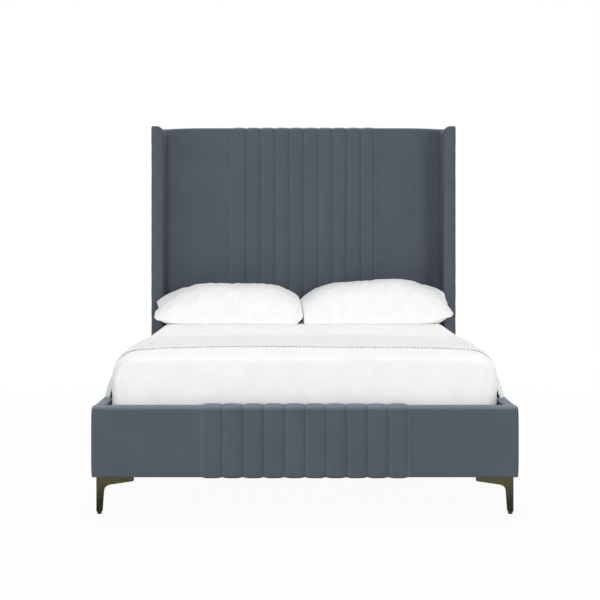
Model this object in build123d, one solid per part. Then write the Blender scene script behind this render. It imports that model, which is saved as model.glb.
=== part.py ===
"""An upholstered wingback bed with a channelled headboard and footboard, made up with bedding.

Millimetres. X runs across the bed, Y from the foot to the head, Z up from the floor. The origin is on the
floor, under the middle of the bed.
"""

from build123d import *
import math
import os

# Overall
leg_height = 145
surround_height = 274
wing_top = 1660
headboard_above_wings = 6
headboard_top = wing_top + headboard_above_wings

# Mattress and deck
mattress_width = 1500
mattress_length = 2000
mattress_thickness = 250
deck_drop = 89
slat_thickness = 18
slat_width = 90
slat_count = 12
slat_end_gap = 2

# Boards and foam
face_foam = 14
lip_foam = 10
lip_depth = 74
rail_board_thickness = 26
footboard_board_thickness = 31
wing_front_foam = 17
wing_inner_foam = 24
wing_depth = 194
headboard_foam = 30
panel_thickness = 9
frame_depth = 37
cover_thickness = 3
cover_bottom_gap = 5

# Channels of the headboard and footboard
channel_count = 10
channel_width = 80
channel_crown = 8
channel_step = 4
channel_root = 5
head_channel_top_sink = 6
foot_channel_top_sink = 3
foot_channel_bottom_sink = 8

# Rounded edges of the upholstery
foot_top_radius = 16
foot_bottom_radius = 11
rear_edge_radius = 8
rail_edge_radius = 13
corner_radius = 6
headboard_edge_radius = 22
wing_inner_edge_radius = 27
wing_outer_edge_radius = 6
headboard_shoulder_drop = 6
headboard_shoulder_run = 195

# Headboard timbers
stile_width = 45
top_rail_height = 60
upright_width = 45
cross_rail_height = 45
cross_rail_level = 900

# Ledgers, centre beam and what holds them
ledger_size = 30
beam_width = 50
beam_height = 60
hanger_steel = 3
hanger_length = 45
hanger_flange = 40
support_leg_size = 40
support_spacing = 650
support_middle_shift = 100
levelling_disc_radius = 20
levelling_disc_height = 8
levelling_gap = 16
levelling_stud_radius = 4
levelling_stud_length = 45
stud_clearance = 0.1

# Corner brackets and joining plates
bracket_steel = 4
bracket_arm = 70
bracket_height = 100
bracket_rise = 25
plate_half_length = 80
bolt_radius = 3
bolt_head_radius = 7
bolt_head_height = 4
bolt_bite = 16
bolt_hole_clearance = 0.4
bolt_spread = 50
wing_bolt_count = 4
wing_bolt_end = 70

# Metal legs
leg_inset = 17.5
leg_arm = 143
leg_blade = 22
leg_top_width = 29
leg_tip_thickness = 17
leg_root_thickness = 34
leg_bend_radius = 32
leg_edge_radius = 2
glide_height = 11
glide_radius = 9
glide_pin_radius = 3
glide_pin_length = 15
glide_edge_radius = 3
screw_radius = 2.5
screw_head_radius = 5
screw_head_height = 3
screw_length = 30
screw_seat = 9
screw_near = 52
screw_far = 118

# Gaps round the mattress, and what keeps the loose bedding free
side_gap = 25
foot_gap = 30
head_gap = 3
soft_gap = 0.5
mattress_lift_gap = 0.3

# Bedding
mattress_edge_radius = 65
mattress_end_radius = 30
mattress_corner_radius = 40
duvet_thickness = 29.5
duvet_side = 17.5
duvet_foot = 27
duvet_foot_radius = 28
duvet_corner_radius = 45
duvet_tuck = 34
duvet_head_gap = 24
fold_radius = 14
fold_depth = 4
fold_places = ((100, 30), (150, 60))
throw_thickness = 7
throw_width = 600
throw_foot_gap = 200
throw_wave = 5
throw_wave_count = 2
throw_stations = 9
pillow_depth = 480
pillow_rise = 152
pillow_seam_height = 64
pillow_belly = 84
pillow_gap = 6
pillow_end_height = 30
pillow_draw = 12
pillow_end_draw = 14
pillow_clearance = 4
pillow_squareness = 3
pillow_stations = 9

# Heights
deck = leg_height + surround_height - deck_drop
surround_top = leg_height + surround_height
board_top = surround_top - face_foam
lip_bottom = surround_top - lip_depth
ledger_top = deck - slat_thickness
ledger_bottom = ledger_top - ledger_size
frame_top = headboard_top - face_foam
wing_board_top = wing_top - wing_front_foam
mattress_bottom = deck + mattress_lift_gap
mattress_top = mattress_bottom + mattress_thickness
duvet_top = mattress_top + soft_gap + duvet_thickness

# Places across the bed, from the mattress out to the side rails' faces
rail_inner_x = mattress_width / 2 + side_gap
board_inner_x = rail_inner_x + lip_foam
board_outer_x = board_inner_x + rail_board_thickness
outer_x = board_outer_x + face_foam
wing_inner_x = board_inner_x - wing_inner_foam
zone_half = channel_count * channel_width / 2

# Places along the bed, from the channel crests of the footboard to the back cover
channel_height = channel_step + channel_crown
footboard_thickness = face_foam + footboard_board_thickness + lip_foam
headboard_thickness = headboard_foam + panel_thickness + frame_depth + cover_thickness
overall_length = (
    2 * channel_height + footboard_thickness + foot_gap + mattress_length + head_gap + headboard_thickness
)
foot_face_y = channel_height - overall_length / 2
foot_board_y = foot_face_y + face_foam
foot_board_rear_y = foot_board_y + footboard_board_thickness
foot_rear_y = foot_board_rear_y + lip_foam
mattress_foot_y = foot_rear_y + foot_gap
mattress_head_y = mattress_foot_y + mattress_length
head_face_y = mattress_head_y + head_gap + channel_height
panel_y = head_face_y + headboard_foam
frame_y = panel_y + panel_thickness
frame_rear_y = frame_y + frame_depth
back_y = frame_rear_y + cover_thickness
wing_front_y = head_face_y - wing_depth
wing_board_y = wing_front_y + wing_front_foam


# Helpers
def block(x, y, z):
    """A box from its ranges in X, Y and Z."""
    size = [high - low for low, high in (x, y, z)]
    middle = [(low + high) / 2 for low, high in (x, y, z)]
    return Pos(*middle) * Box(*size)


def along_x(sketch, x0, x1):
    """Extrudes a (Y, Z) sketch from x0 to x1."""
    return extrude(Plane.YZ.offset(x0) * sketch, amount=x1 - x0)


def along_y(sketch, y0, y1):
    """Extrudes an (X, Z) sketch from y0 to y1."""
    return extrude(Plane.XZ.offset(-y1) * sketch, amount=y1 - y0)


def along_z(sketch, z0, z1):
    """Extrudes an (X, Y) sketch from z0 to z1."""
    return extrude(Plane.XY.offset(z0) * sketch, amount=z1 - z0)


def outline(points, rounded=()):
    """A polygon, with the corners named in rounded, as (point, radius), turned into arcs."""
    shape = Polygon(*points, align=None)
    for (u, v), radius in rounded:
        shape = fillet(shape.vertices().sort_by_distance((u, v, 0))[0], radius)
    return shape


def rectangle(u0, u1, v0, v1, rounded=()):
    return outline([(u0, v0), (u1, v0), (u1, v1), (u0, v1)], rounded)


def mirrored(shape):
    """The left-hand piece that pairs with a right-hand one."""
    return mirror(shape, about=Plane.YZ)


def cylinder(start, direction, radius, length):
    """A round bar from a point, along a direction."""
    return Plane(origin=start, z_dir=direction) * Cylinder(
        radius, length, align=(Align.CENTER, Align.CENTER, Align.MIN)
    )


def bolt(seat, direction, reach):
    """A bolt: its head lies on the seat, and its shank runs in along the direction."""
    back = [-value for value in direction]
    head = cylinder(seat, back, bolt_head_radius, bolt_head_height)
    return head + cylinder(seat, direction, bolt_radius, reach)


def bolt_hole(seat, direction):
    return cylinder(seat, direction, bolt_radius + bolt_hole_clearance, bracket_steel)


def write(name, shape):
    export_step(shape, f"parts/{name}.step")


def write_group(name, shapes):
    export_step(Compound(children=list(shapes)), f"parts/{name}.step")


def channels(path, first_direction, start):
    """The raised channels: one scalloped section, carried along a path over the board's edge."""
    root = -channel_root
    lines = [Line((-zone_half, root), (-zone_half, channel_step))]
    for number in range(channel_count):
        left = number * channel_width - zone_half
        crest = (left + channel_width / 2, channel_height)
        lines.append(
            ThreePointArc((left, channel_step), crest, (left + channel_width, channel_step))
        )
    lines.append(Line((zone_half, channel_step), (zone_half, root)))
    lines.append(Line((zone_half, root), (-zone_half, root)))
    section = Plane(origin=start, x_dir=(-1, 0, 0), z_dir=first_direction) * make_face(lines)
    return sweep(section, path=path)


# Footboard
def footboard():
    board = block(
        (-board_outer_x, board_outer_x), (foot_board_y, foot_board_rear_y), (leg_height, board_top)
    )
    side = rectangle(
        foot_face_y,
        foot_rear_y,
        leg_height,
        surround_top,
        [((foot_face_y, surround_top), foot_top_radius), ((foot_rear_y, surround_top), rear_edge_radius)],
    )
    plan = rectangle(
        -outer_x,
        outer_x,
        foot_face_y,
        foot_rear_y,
        [((-outer_x, foot_face_y), corner_radius), ((outer_x, foot_face_y), corner_radius)],
    )
    pad = along_x(side, -outer_x, outer_x) & along_z(plan, leg_height, surround_top)
    front_z = leg_height + foot_channel_bottom_sink
    top_z = surround_top - foot_channel_top_sink
    start = (0, foot_board_y, front_z)
    path = FilletPolyline(
        start,
        (0, foot_face_y, front_z),
        (0, foot_face_y, top_z),
        (0, foot_rear_y, top_z),
        radius=[foot_bottom_radius, foot_top_radius],
    )
    pad += channels(path, (0, -1, 0), start)
    pad -= board
    pad -= block((-outer_x, outer_x), (foot_board_rear_y, foot_rear_y), (leg_height, lip_bottom))
    for side_x in ((-outer_x, -rail_inner_x), (rail_inner_x, outer_x)):
        pad -= block(side_x, (foot_board_rear_y, foot_rear_y), (lip_bottom, surround_top))
    return board, pad


# Side rails, right-hand side
def side_rail():
    length = (foot_board_rear_y, wing_board_y)
    board = block((board_inner_x, board_outer_x), length, (leg_height, board_top))
    section = outline(
        [
            (board_outer_x, leg_height),
            (outer_x, leg_height),
            (outer_x, surround_top),
            (rail_inner_x, surround_top),
            (rail_inner_x, lip_bottom),
            (board_inner_x, lip_bottom),
            (board_inner_x, board_top),
            (board_outer_x, board_top),
        ],
        [((outer_x, surround_top), rail_edge_radius), ((rail_inner_x, surround_top), rear_edge_radius)],
    )
    return board, along_y(section, *length)


def ledger():
    return block(
        (board_inner_x - ledger_size, board_inner_x), (foot_board_rear_y, frame_y), (ledger_bottom, ledger_top)
    )


# Wings, right-hand side
def wing():
    board = block(
        (board_inner_x, board_outer_x), (wing_board_y, frame_rear_y), (leg_height, wing_board_top)
    )
    front = rectangle(
        wing_inner_x,
        outer_x,
        leg_height,
        wing_top,
        [((wing_inner_x, wing_top), wing_inner_edge_radius), ((outer_x, wing_top), wing_outer_edge_radius)],
    )
    plan = rectangle(
        wing_inner_x,
        outer_x,
        wing_front_y,
        back_y,
        [((wing_inner_x, wing_front_y), corner_radius), ((outer_x, wing_front_y), corner_radius)],
    )
    pad = along_y(front, wing_front_y, back_y) & along_z(plan, leg_height, wing_top)
    pad -= board
    pad -= block((wing_inner_x, outer_x), (wing_front_y, wing_board_y), (leg_height, surround_top))
    pad -= block((wing_inner_x, board_inner_x), (wing_front_y, back_y), (leg_height, lip_bottom))
    pad -= block((wing_inner_x, board_inner_x), (panel_y, back_y), (lip_bottom, wing_top))
    pad -= block((board_inner_x, board_outer_x), (frame_rear_y, back_y), (leg_height, wing_board_top))
    return board, pad


# Headboard
def headboard_pad():
    side = outline(
        [
            (head_face_y, lip_bottom),
            (panel_y, lip_bottom),
            (panel_y, frame_top),
            (back_y, frame_top),
            (back_y, headboard_top),
            (head_face_y, headboard_top),
        ],
        [
            ((head_face_y, headboard_top), headboard_edge_radius),
            ((back_y, headboard_top), rear_edge_radius),
        ],
    )
    low_top = headboard_top - headboard_shoulder_drop
    run = headboard_shoulder_run
    drop = headboard_shoulder_drop
    arc_radius = (run * run + drop * drop) / (2 * drop)
    half_turn = math.asin(run / arc_radius) / 2
    inner_x = wing_inner_x - run
    mid_x = inner_x + arc_radius * math.sin(half_turn)
    mid_z = headboard_top - arc_radius * (1 - math.cos(half_turn))
    front = make_face(
        [
            Line((-board_inner_x, lip_bottom), (board_inner_x, lip_bottom)),
            Line((board_inner_x, lip_bottom), (board_inner_x, low_top)),
            Line((board_inner_x, low_top), (wing_inner_x, low_top)),
            ThreePointArc((wing_inner_x, low_top), (mid_x, mid_z), (inner_x, headboard_top)),
            Line((inner_x, headboard_top), (-inner_x, headboard_top)),
            ThreePointArc((-inner_x, headboard_top), (-mid_x, mid_z), (-wing_inner_x, low_top)),
            Line((-wing_inner_x, low_top), (-board_inner_x, low_top)),
            Line((-board_inner_x, low_top), (-board_inner_x, lip_bottom)),
        ]
    )
    pad = along_x(side, -board_inner_x, board_inner_x) & along_y(front, head_face_y, back_y)
    top_z = headboard_top - head_channel_top_sink
    start = (0, head_face_y, lip_bottom)
    path = FilletPolyline(
        start, (0, head_face_y, top_z), (0, back_y, top_z), radius=headboard_edge_radius
    )
    pad += channels(path, (0, 0, 1), start)
    for side_x in ((-board_inner_x, -wing_inner_x), (wing_inner_x, board_inner_x)):
        pad -= block(side_x, (head_face_y, panel_y), (lip_bottom, headboard_top))
    return pad


def headboard_timbers():
    """Every timber of the headboard's frame, by name."""
    depth = (frame_y, frame_rear_y)
    stile_inner_x = board_inner_x - stile_width
    top_rail_z = frame_top - top_rail_height
    cross_z = (cross_rail_level, cross_rail_level + cross_rail_height)
    half_upright = upright_width / 2
    stile = block((stile_inner_x, board_inner_x), depth, (leg_height, frame_top))
    cross = block((half_upright, stile_inner_x), depth, cross_z)
    across = (-stile_inner_x, stile_inner_x)
    return {
        "headboard_stile_right": stile,
        "headboard_stile_left": mirrored(stile),
        "headboard_top_rail": block(across, depth, (top_rail_z, frame_top)),
        "headboard_bottom_rail": block(across, depth, (leg_height, deck)),
        "headboard_centre_upright": block((-half_upright, half_upright), depth, (deck, top_rail_z)),
        "headboard_cross_rail_right": cross,
        "headboard_cross_rail_left": mirrored(cross),
    }


# Brackets, plates and bolts, right-hand side
bracket_z = leg_height + bracket_rise
bolt_levels = [bracket_z + (bracket_height - bolt_spread) / 2 + row * bolt_spread for row in range(2)]


def corner_bracket():
    """The steel angle inside the foot corner, and its bolts."""
    height = (bracket_z, bracket_z + bracket_height)
    inner_x = board_inner_x - bracket_steel
    rear_y = foot_board_rear_y + bracket_steel
    steel = block((inner_x, board_inner_x), (foot_board_rear_y, foot_board_rear_y + bracket_arm), height)
    steel += block((board_inner_x - bracket_arm, board_inner_x), (foot_board_rear_y, rear_y), height)
    bolts = []
    for level in bolt_levels:
        on_rail = (inner_x, foot_board_rear_y + bracket_arm - bolt_spread / 2, level)
        on_foot = (board_inner_x - bracket_arm + bolt_spread / 2, rear_y, level)
        bolts.append(bolt(on_rail, (1, 0, 0), bracket_steel + bolt_bite))
        bolts.append(bolt(on_foot, (0, -1, 0), bracket_steel + bolt_bite))
        steel -= bolt_hole(on_rail, (1, 0, 0))
        steel -= bolt_hole(on_foot, (0, -1, 0))
    return steel, bolts


def joint_plate():
    """The flat plate that joins the rail to the wing, and its bolts."""
    inner_x = board_inner_x - bracket_steel
    steel = block(
        (inner_x, board_inner_x),
        (wing_board_y - plate_half_length, wing_board_y + plate_half_length),
        (bracket_z, bracket_z + bracket_height),
    )
    bolts = []
    for level in bolt_levels:
        for side in (-1, 1):
            seat = (inner_x, wing_board_y + side * bolt_spread, level)
            bolts.append(bolt(seat, (1, 0, 0), bracket_steel + bolt_bite))
            steel -= bolt_hole(seat, (1, 0, 0))
    return steel, bolts


def wing_bolts():
    """The bolts that hold the wing to the headboard's stile."""
    seat_x = board_inner_x - stile_width
    middle_y = (frame_y + frame_rear_y) / 2
    first = deck + wing_bolt_end
    pitch = (frame_top - top_rail_height - wing_bolt_end - first) / (wing_bolt_count - 1)
    levels = [first + number * pitch for number in range(wing_bolt_count)]
    return [bolt((seat_x, middle_y, level), (1, 0, 0), stile_width + bolt_bite) for level in levels]


# Centre beam
def beam_hanger(wall_y, inward):
    """The steel stirrup that carries one end of the centre beam, and its bolts."""
    half = beam_width / 2
    low_z = ledger_top - beam_height
    plate_y = sorted((wall_y, wall_y + inward * hanger_steel))
    cradle_y = sorted((wall_y, wall_y + inward * hanger_length))
    reach = half + hanger_steel
    steel = block((-reach - hanger_flange, reach + hanger_flange), plate_y, (low_z - hanger_steel, ledger_top))
    steel += block((-reach, reach), cradle_y, (low_z - hanger_steel, low_z))
    for side in (-1, 1):
        cheek_x = sorted((side * half, side * reach))
        steel += block(cheek_x, cradle_y, (low_z - hanger_steel, ledger_top))
    bolts = []
    for side in (-1, 1):
        seat = (side * (reach + hanger_flange / 2), wall_y + inward * hanger_steel, ledger_top - beam_height / 2)
        bolts.append(bolt(seat, (0, -inward, 0), hanger_steel + bolt_bite))
        steel -= cylinder(seat, (0, -inward, 0), bolt_radius + bolt_hole_clearance, hanger_steel)
    return steel, bolts


def centre_beam():
    return block(
        (-beam_width / 2, beam_width / 2),
        (foot_board_rear_y + hanger_steel, frame_y - hanger_steel),
        (ledger_top - beam_height, ledger_top),
    )


def support_leg(y):
    """A square leg under the beam, with its screw foot."""
    half = support_leg_size / 2
    foot_top = levelling_disc_height + levelling_gap
    post = block((-half, half), (y - half, y + half), (foot_top, ledger_top - beam_height))
    post -= cylinder(
        (0, y, foot_top),
        (0, 0, 1),
        levelling_stud_radius + stud_clearance,
        levelling_stud_length,
    )
    foot = cylinder((0, y, 0), (0, 0, 1), levelling_disc_radius, levelling_disc_height)
    foot += cylinder((0, y, levelling_disc_height), (0, 0, 1), levelling_stud_radius, levelling_stud_length)
    return post, foot


# Metal legs: the front right one, with its corner at the outside of the bed
def leg_profile():
    """One blade, as (distance in from the corner, height)."""
    underside = leg_height - leg_root_thickness
    return outline(
        [
            (0, glide_height),
            (leg_blade, glide_height),
            (leg_top_width, underside),
            (leg_arm, leg_height - leg_tip_thickness),
            (leg_arm, leg_height),
            (0, leg_height),
        ],
        [((leg_top_width, underside), leg_bend_radius)],
    )


def leg_blades():
    """Two blades that meet at the corner (0, 0) and run along +X and +Y."""
    across = along_y(leg_profile(), 0, leg_blade)
    lengthways = along_x(leg_profile(), 0, leg_blade)
    leg = across + lengthways
    leg = fillet(leg.edges().filter_by(Axis.Z).sort_by_distance((0, 0, leg_height / 2))[0], leg_edge_radius)
    middle = leg_blade / 2
    for x, y in screw_places():
        leg -= cylinder((x, y, 0), (0, 0, 1), screw_radius, leg_height)
        leg -= cylinder((x, y, 0), (0, 0, 1), screw_head_radius, leg_height - screw_seat)
    leg -= cylinder((middle, middle, glide_height), (0, 0, 1), glide_pin_radius, glide_pin_length)
    return leg


def screw_places():
    middle = leg_blade / 2
    return [(screw_near, middle), (screw_far, middle), (middle, screw_near), (middle, screw_far)]


def leg_screws():
    seat = leg_height - screw_seat
    screws = []
    for x, y in screw_places():
        head = cylinder((x, y, seat), (0, 0, -1), screw_head_radius, screw_head_height)
        screws.append(head + cylinder((x, y, seat), (0, 0, 1), screw_radius, screw_length))
    return screws


def leg_glide():
    middle = leg_blade / 2
    glide = cylinder((middle, middle, 0), (0, 0, 1), glide_radius, glide_height)
    glide = fillet(glide.edges().sort_by(Axis.Z)[0], glide_edge_radius)
    return glide + cylinder((middle, middle, glide_height), (0, 0, 1), glide_pin_radius, glide_pin_length)


def to_corner(shape, right, front):
    """Turns a piece made at the corner (0, 0) round to one of the four corners."""
    x = outer_x - leg_inset
    y = foot_face_y + leg_inset if front else back_y - leg_inset
    if right:
        shape = mirror(shape, about=Plane.YZ)
    if not front:
        shape = mirror(shape, about=Plane.XZ)
    return Pos(x if right else -x, y, 0) * shape


# Bedding
def mattress():
    half = mattress_width / 2
    front = rectangle(
        -half,
        half,
        mattress_bottom,
        mattress_top,
        [((-half, mattress_top), mattress_edge_radius), ((half, mattress_top), mattress_edge_radius)],
    )
    ends = ((mattress_foot_y, mattress_top), (mattress_head_y, mattress_top))
    side = rectangle(
        mattress_foot_y,
        mattress_head_y,
        mattress_bottom,
        mattress_top,
        [(point, mattress_end_radius) for point in ends],
    )
    corners = [(x, y) for x in (-half, half) for y in (mattress_foot_y, mattress_head_y)]
    plan = rectangle(
        -half, half, mattress_foot_y, mattress_head_y, [(point, mattress_corner_radius) for point in corners]
    )
    shape = along_y(front, mattress_foot_y, mattress_head_y)
    shape &= along_x(side, -half, half)
    return shape & along_z(plan, mattress_bottom, mattress_top)


duvet_half = mattress_width / 2 + soft_gap + duvet_side
duvet_bottom = surround_top - duvet_tuck
duvet_foot_y = mattress_foot_y - soft_gap - duvet_foot
duvet_head_y = wing_front_y - duvet_head_gap
shoulder_radius = mattress_edge_radius + (duvet_thickness + duvet_side) / 2
shoulder_x = duvet_half - shoulder_radius
shoulder_z = duvet_top - shoulder_radius
pillow_length = wing_inner_x - pillow_clearance - pillow_gap / 2


def duvet():
    """A cap over the mattress, open underneath and at the head, with folds at its foot corners."""
    front = rectangle(
        -duvet_half,
        duvet_half,
        duvet_bottom,
        duvet_top,
        [((-duvet_half, duvet_top), shoulder_radius), ((duvet_half, duvet_top), shoulder_radius)],
    )
    side = rectangle(
        duvet_foot_y,
        duvet_head_y,
        duvet_bottom,
        duvet_top,
        [((duvet_foot_y, duvet_top), duvet_foot_radius)],
    )
    corners = [(-duvet_half, duvet_foot_y), (duvet_half, duvet_foot_y)]
    plan = rectangle(
        -duvet_half, duvet_half, duvet_foot_y, duvet_head_y, [(point, duvet_corner_radius) for point in corners]
    )
    shape = along_y(front, duvet_foot_y, duvet_head_y)
    shape &= along_x(side, -duvet_half, duvet_half)
    shape &= along_z(plan, duvet_bottom, duvet_top)
    half = mattress_width / 2 + soft_gap
    hollow = rectangle(
        -half,
        half,
        duvet_bottom,
        mattress_top + soft_gap,
        [
            ((-half, mattress_top + soft_gap), mattress_edge_radius),
            ((half, mattress_top + soft_gap), mattress_edge_radius),
        ],
    )
    shape -= along_y(hollow, mattress_foot_y - soft_gap, duvet_head_y)
    for side in (-1, 1):
        for top_inset, hem_inset in fold_places:
            fold_y = duvet_foot_y - fold_radius + fold_depth
            top = Vector(side * (duvet_half - top_inset), fold_y, duvet_top)
            low = Vector(side * (duvet_half - hem_inset), fold_y, duvet_bottom)
            shape -= cylinder(tuple(top), tuple(low - top), fold_radius, (low - top).length)
    return shape


def shoulder_point(radius, angle):
    """A point round the duvet's right shoulder, as (X, Z)."""
    return shoulder_x + radius * math.cos(angle), shoulder_z + radius * math.sin(angle)


def throw_section(wave):
    """The throw cut across the bed, with its hems moved in or out by the wave."""
    inner = shoulder_radius + soft_gap
    outer = inner + throw_thickness
    hem = (board_outer_x - throw_wave + wave, surround_top + soft_gap)
    run = (hem[0] - shoulder_x, hem[1] - shoulder_z)
    turn = math.atan2(run[1], run[0]) + math.acos(inner / math.hypot(*run))
    halfway = (turn + math.pi / 2) / 2
    outer_hem = (hem[0] + throw_thickness * math.cos(turn), hem[1] + throw_thickness * math.sin(turn))
    right = [shoulder_point(outer, angle) for angle in (math.pi / 2, halfway, turn)]
    right += [outer_hem, hem]
    right += [shoulder_point(inner, angle) for angle in (turn, halfway, math.pi / 2)]
    left = [(-x, z) for x, z in right]
    return make_face(
        [
            Line(left[0], right[0]),
            ThreePointArc(*right[0:3]),
            Polyline(*right[2:6]),
            ThreePointArc(*right[5:8]),
            Line(right[7], left[7]),
            ThreePointArc(*left[7:4:-1]),
            Polyline(*left[5:1:-1]),
            ThreePointArc(*left[2::-1]),
        ]
    )


def throw():
    """A knitted throw across the bed: it falls from the duvet's shoulders to the tops of the side rails."""
    foot_y = foot_face_y + throw_foot_gap
    sections = []
    for number in range(throw_stations):
        share = number / (throw_stations - 1)
        wave = throw_wave * math.sin(throw_wave_count * math.tau * share)
        sections.append(Plane.XZ.offset(-foot_y - share * throw_width) * throw_section(wave))
    return loft(sections)


def pillow_section(share):
    """The pillow cut from foot to head at a share of its half length: two arcs that meet in the seam."""
    middle_share = 1 - abs(share) ** pillow_squareness
    fullness = math.sqrt(middle_share)
    half_end = pillow_end_height / 2
    depth = pillow_depth / 2 - pillow_draw * middle_share
    top = half_end + (pillow_rise - half_end) * fullness
    low = half_end + (pillow_belly - half_end) * fullness
    return make_face(
        [
            ThreePointArc((-depth, 0), (0, top), (depth, 0)),
            ThreePointArc((depth, 0), (0, -low), (-depth, 0)),
        ]
    )


def pillow(side):
    """A plump pillow with drawn-in sides, flat where it lies on the duvet. It just fits beside the wing."""
    seat = duvet_top + soft_gap
    seam_z = seat + pillow_seam_height
    rear_y = head_face_y - channel_height - pillow_clearance
    middle_y = rear_y - pillow_depth / 2
    middle_x = side * (pillow_gap + pillow_length) / 2
    half = pillow_length / 2
    sections = []
    for number in range(pillow_stations):
        share = math.sin((number / (pillow_stations - 1) - 0.5) * math.pi)
        origin = (middle_x + share * half, middle_y, seam_z)
        sections.append(
            Plane(origin=origin, x_dir=(0, 1, 0), z_dir=(1, 0, 0)) * pillow_section(share)
        )
    shape = loft(sections)
    span = pillow_depth / 2
    bow = (span * span + pillow_end_draw * pillow_end_draw) / (2 * pillow_end_draw)
    for end in (-1, 1):
        centre = (middle_x + end * (half + bow - pillow_end_draw), middle_y, seam_z - pillow_rise)
        shape -= cylinder(centre, (0, 0, 1), bow, 2 * pillow_rise)
    under = block((middle_x - half, middle_x + half), (rear_y - pillow_depth, rear_y), (seat - pillow_belly, seat))
    return shape - under


def slat(number):
    """One slat: the row is spread evenly between the footboard and the headboard."""
    first = foot_board_rear_y + slat_width
    pitch = (frame_y - slat_width - first) / (slat_count - 1)
    y = first + number * pitch
    half = board_inner_x - slat_end_gap
    return block((-half, half), (y - slat_width / 2, y + slat_width / 2), (ledger_top, deck))


def main():
    os.makedirs("parts", exist_ok=True)

    foot_board, foot_pad = footboard()
    rail_board, rail_pad = side_rail()
    wing_board, wing_pad = wing()
    timbers = headboard_timbers()
    bracket, bracket_bolts = corner_bracket()
    plate, plate_bolts = joint_plate()
    foot_hanger, foot_hanger_bolts = beam_hanger(foot_board_rear_y, 1)
    head_hanger, head_hanger_bolts = beam_hanger(frame_y, -1)
    stile_bolts = wing_bolts()

    corners = {
        f"leg_{'front' if front else 'rear'}_{'right' if right else 'left'}": (right, front)
        for front in (True, False)
        for right in (True, False)
    }
    screws = [to_corner(screw, *corner) for corner in corners.values() for screw in leg_screws()]

    for shape in bracket_bolts:
        rail_board -= shape
        foot_board -= shape
        foot_board -= mirrored(shape)
    for shape in plate_bolts:
        rail_board -= shape
        wing_board -= shape
    for shape in stile_bolts:
        timbers["headboard_stile_right"] -= shape
        timbers["headboard_stile_left"] -= mirrored(shape)
        wing_board -= shape
    for shape in foot_hanger_bolts:
        foot_board -= shape
    for shape in head_hanger_bolts:
        timbers["headboard_bottom_rail"] -= shape
    for shape in screws:
        foot_board -= shape
        rail_board -= shape
        wing_board -= shape
        for name in ("headboard_bottom_rail", "headboard_stile_right", "headboard_stile_left"):
            timbers[name] -= shape

    write("footboard_board", foot_board)
    write("footboard_pad", foot_pad)
    write("headboard_pad", headboard_pad())
    write(
        "headboard_panel",
        block((-board_inner_x, board_inner_x), (panel_y, frame_y), (lip_bottom, frame_top)),
    )
    write(
        "headboard_back_cover",
        block(
            (-board_outer_x, board_outer_x),
            (frame_rear_y, back_y),
            (leg_height + cover_bottom_gap, wing_board_top),
        ),
    )
    for name, shape in timbers.items():
        write(name, shape)
    pairs = {
        "side_rail_board": rail_board,
        "side_rail_pad": rail_pad,
        "wing_board": wing_board,
        "wing_pad": wing_pad,
        "slat_ledger": ledger(),
        "corner_bracket": bracket,
        "joint_plate": plate,
    }
    for name, shape in pairs.items():
        write(f"{name}_right", shape)
        write(f"{name}_left", mirrored(shape))
    one_side = bracket_bolts + plate_bolts
    both_sides = one_side + [mirrored(shape) for shape in one_side]
    write_group("frame_bolts", both_sides + foot_hanger_bolts + head_hanger_bolts)
    write_group("wing_bolts", stile_bolts + [mirrored(shape) for shape in stile_bolts])
    for name, corner in corners.items():
        write(name, to_corner(leg_blades(), *corner))
    write_group("leg_glides", [to_corner(leg_glide(), *corner) for corner in corners.values()])
    write_group("leg_screws", screws)

    write("centre_beam", centre_beam())
    write("beam_hanger_foot", foot_hanger)
    write("beam_hanger_head", head_hanger)
    for name, shift in (("front", -1), ("rear", 1)):
        post, foot = support_leg(support_middle_shift + shift * support_spacing / 2)
        write(f"support_leg_{name}", post)
        write(f"levelling_foot_{name}", foot)
    for number in range(slat_count):
        write(f"slat_{number + 1:02d}", slat(number))

    write("mattress", mattress())
    write("duvet", duvet())
    write("throw", throw())
    write("pillow_right", pillow(1))
    write("pillow_left", pillow(-1))


main()
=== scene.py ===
"""Looks of a channelled wingback bed: velvet over foam, made-up bedding, timber, metal and a white studio.

Metres. X runs across the bed, Y from the foot to the head, Z up from the floor.
"""

import math
from functools import partial

import bmesh
import bpy
import numpy as np
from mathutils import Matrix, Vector


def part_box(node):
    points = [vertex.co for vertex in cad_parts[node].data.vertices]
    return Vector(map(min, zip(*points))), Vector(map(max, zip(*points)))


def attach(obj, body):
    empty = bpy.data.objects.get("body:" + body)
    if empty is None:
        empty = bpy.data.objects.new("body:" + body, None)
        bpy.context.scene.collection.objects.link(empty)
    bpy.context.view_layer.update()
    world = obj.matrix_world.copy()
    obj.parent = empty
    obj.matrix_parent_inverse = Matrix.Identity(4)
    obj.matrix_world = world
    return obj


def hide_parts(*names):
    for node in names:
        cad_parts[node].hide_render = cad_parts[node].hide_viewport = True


bl_info = {
    "name": "Channelled Wingback Bed",
    "version": (1, 0, 0),
    "blender": (4, 5, 0),
    "location": "View3D > Sidebar > Bed",
    "description": "Upholsters, makes up and lights a wingback bed with vertical channels",
    "category": "Object",
}

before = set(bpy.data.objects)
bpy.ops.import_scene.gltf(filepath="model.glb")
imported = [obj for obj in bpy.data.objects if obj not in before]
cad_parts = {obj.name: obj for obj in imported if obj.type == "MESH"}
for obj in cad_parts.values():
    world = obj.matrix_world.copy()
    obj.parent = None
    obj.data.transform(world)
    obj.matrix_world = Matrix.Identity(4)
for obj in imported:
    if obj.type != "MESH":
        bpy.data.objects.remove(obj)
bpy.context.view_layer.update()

MM = 0.001

# Foam between the boards and the velvet
FACE_FOAM = 14 * MM
LIP_FOAM = 10 * MM
WING_FRONT_FOAM = 17 * MM
WING_INNER_FOAM = 24 * MM
HEAD_FOAM = 30 * MM
BACK_TURN = 3 * MM
LIP_DEPTH = 74 * MM

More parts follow.
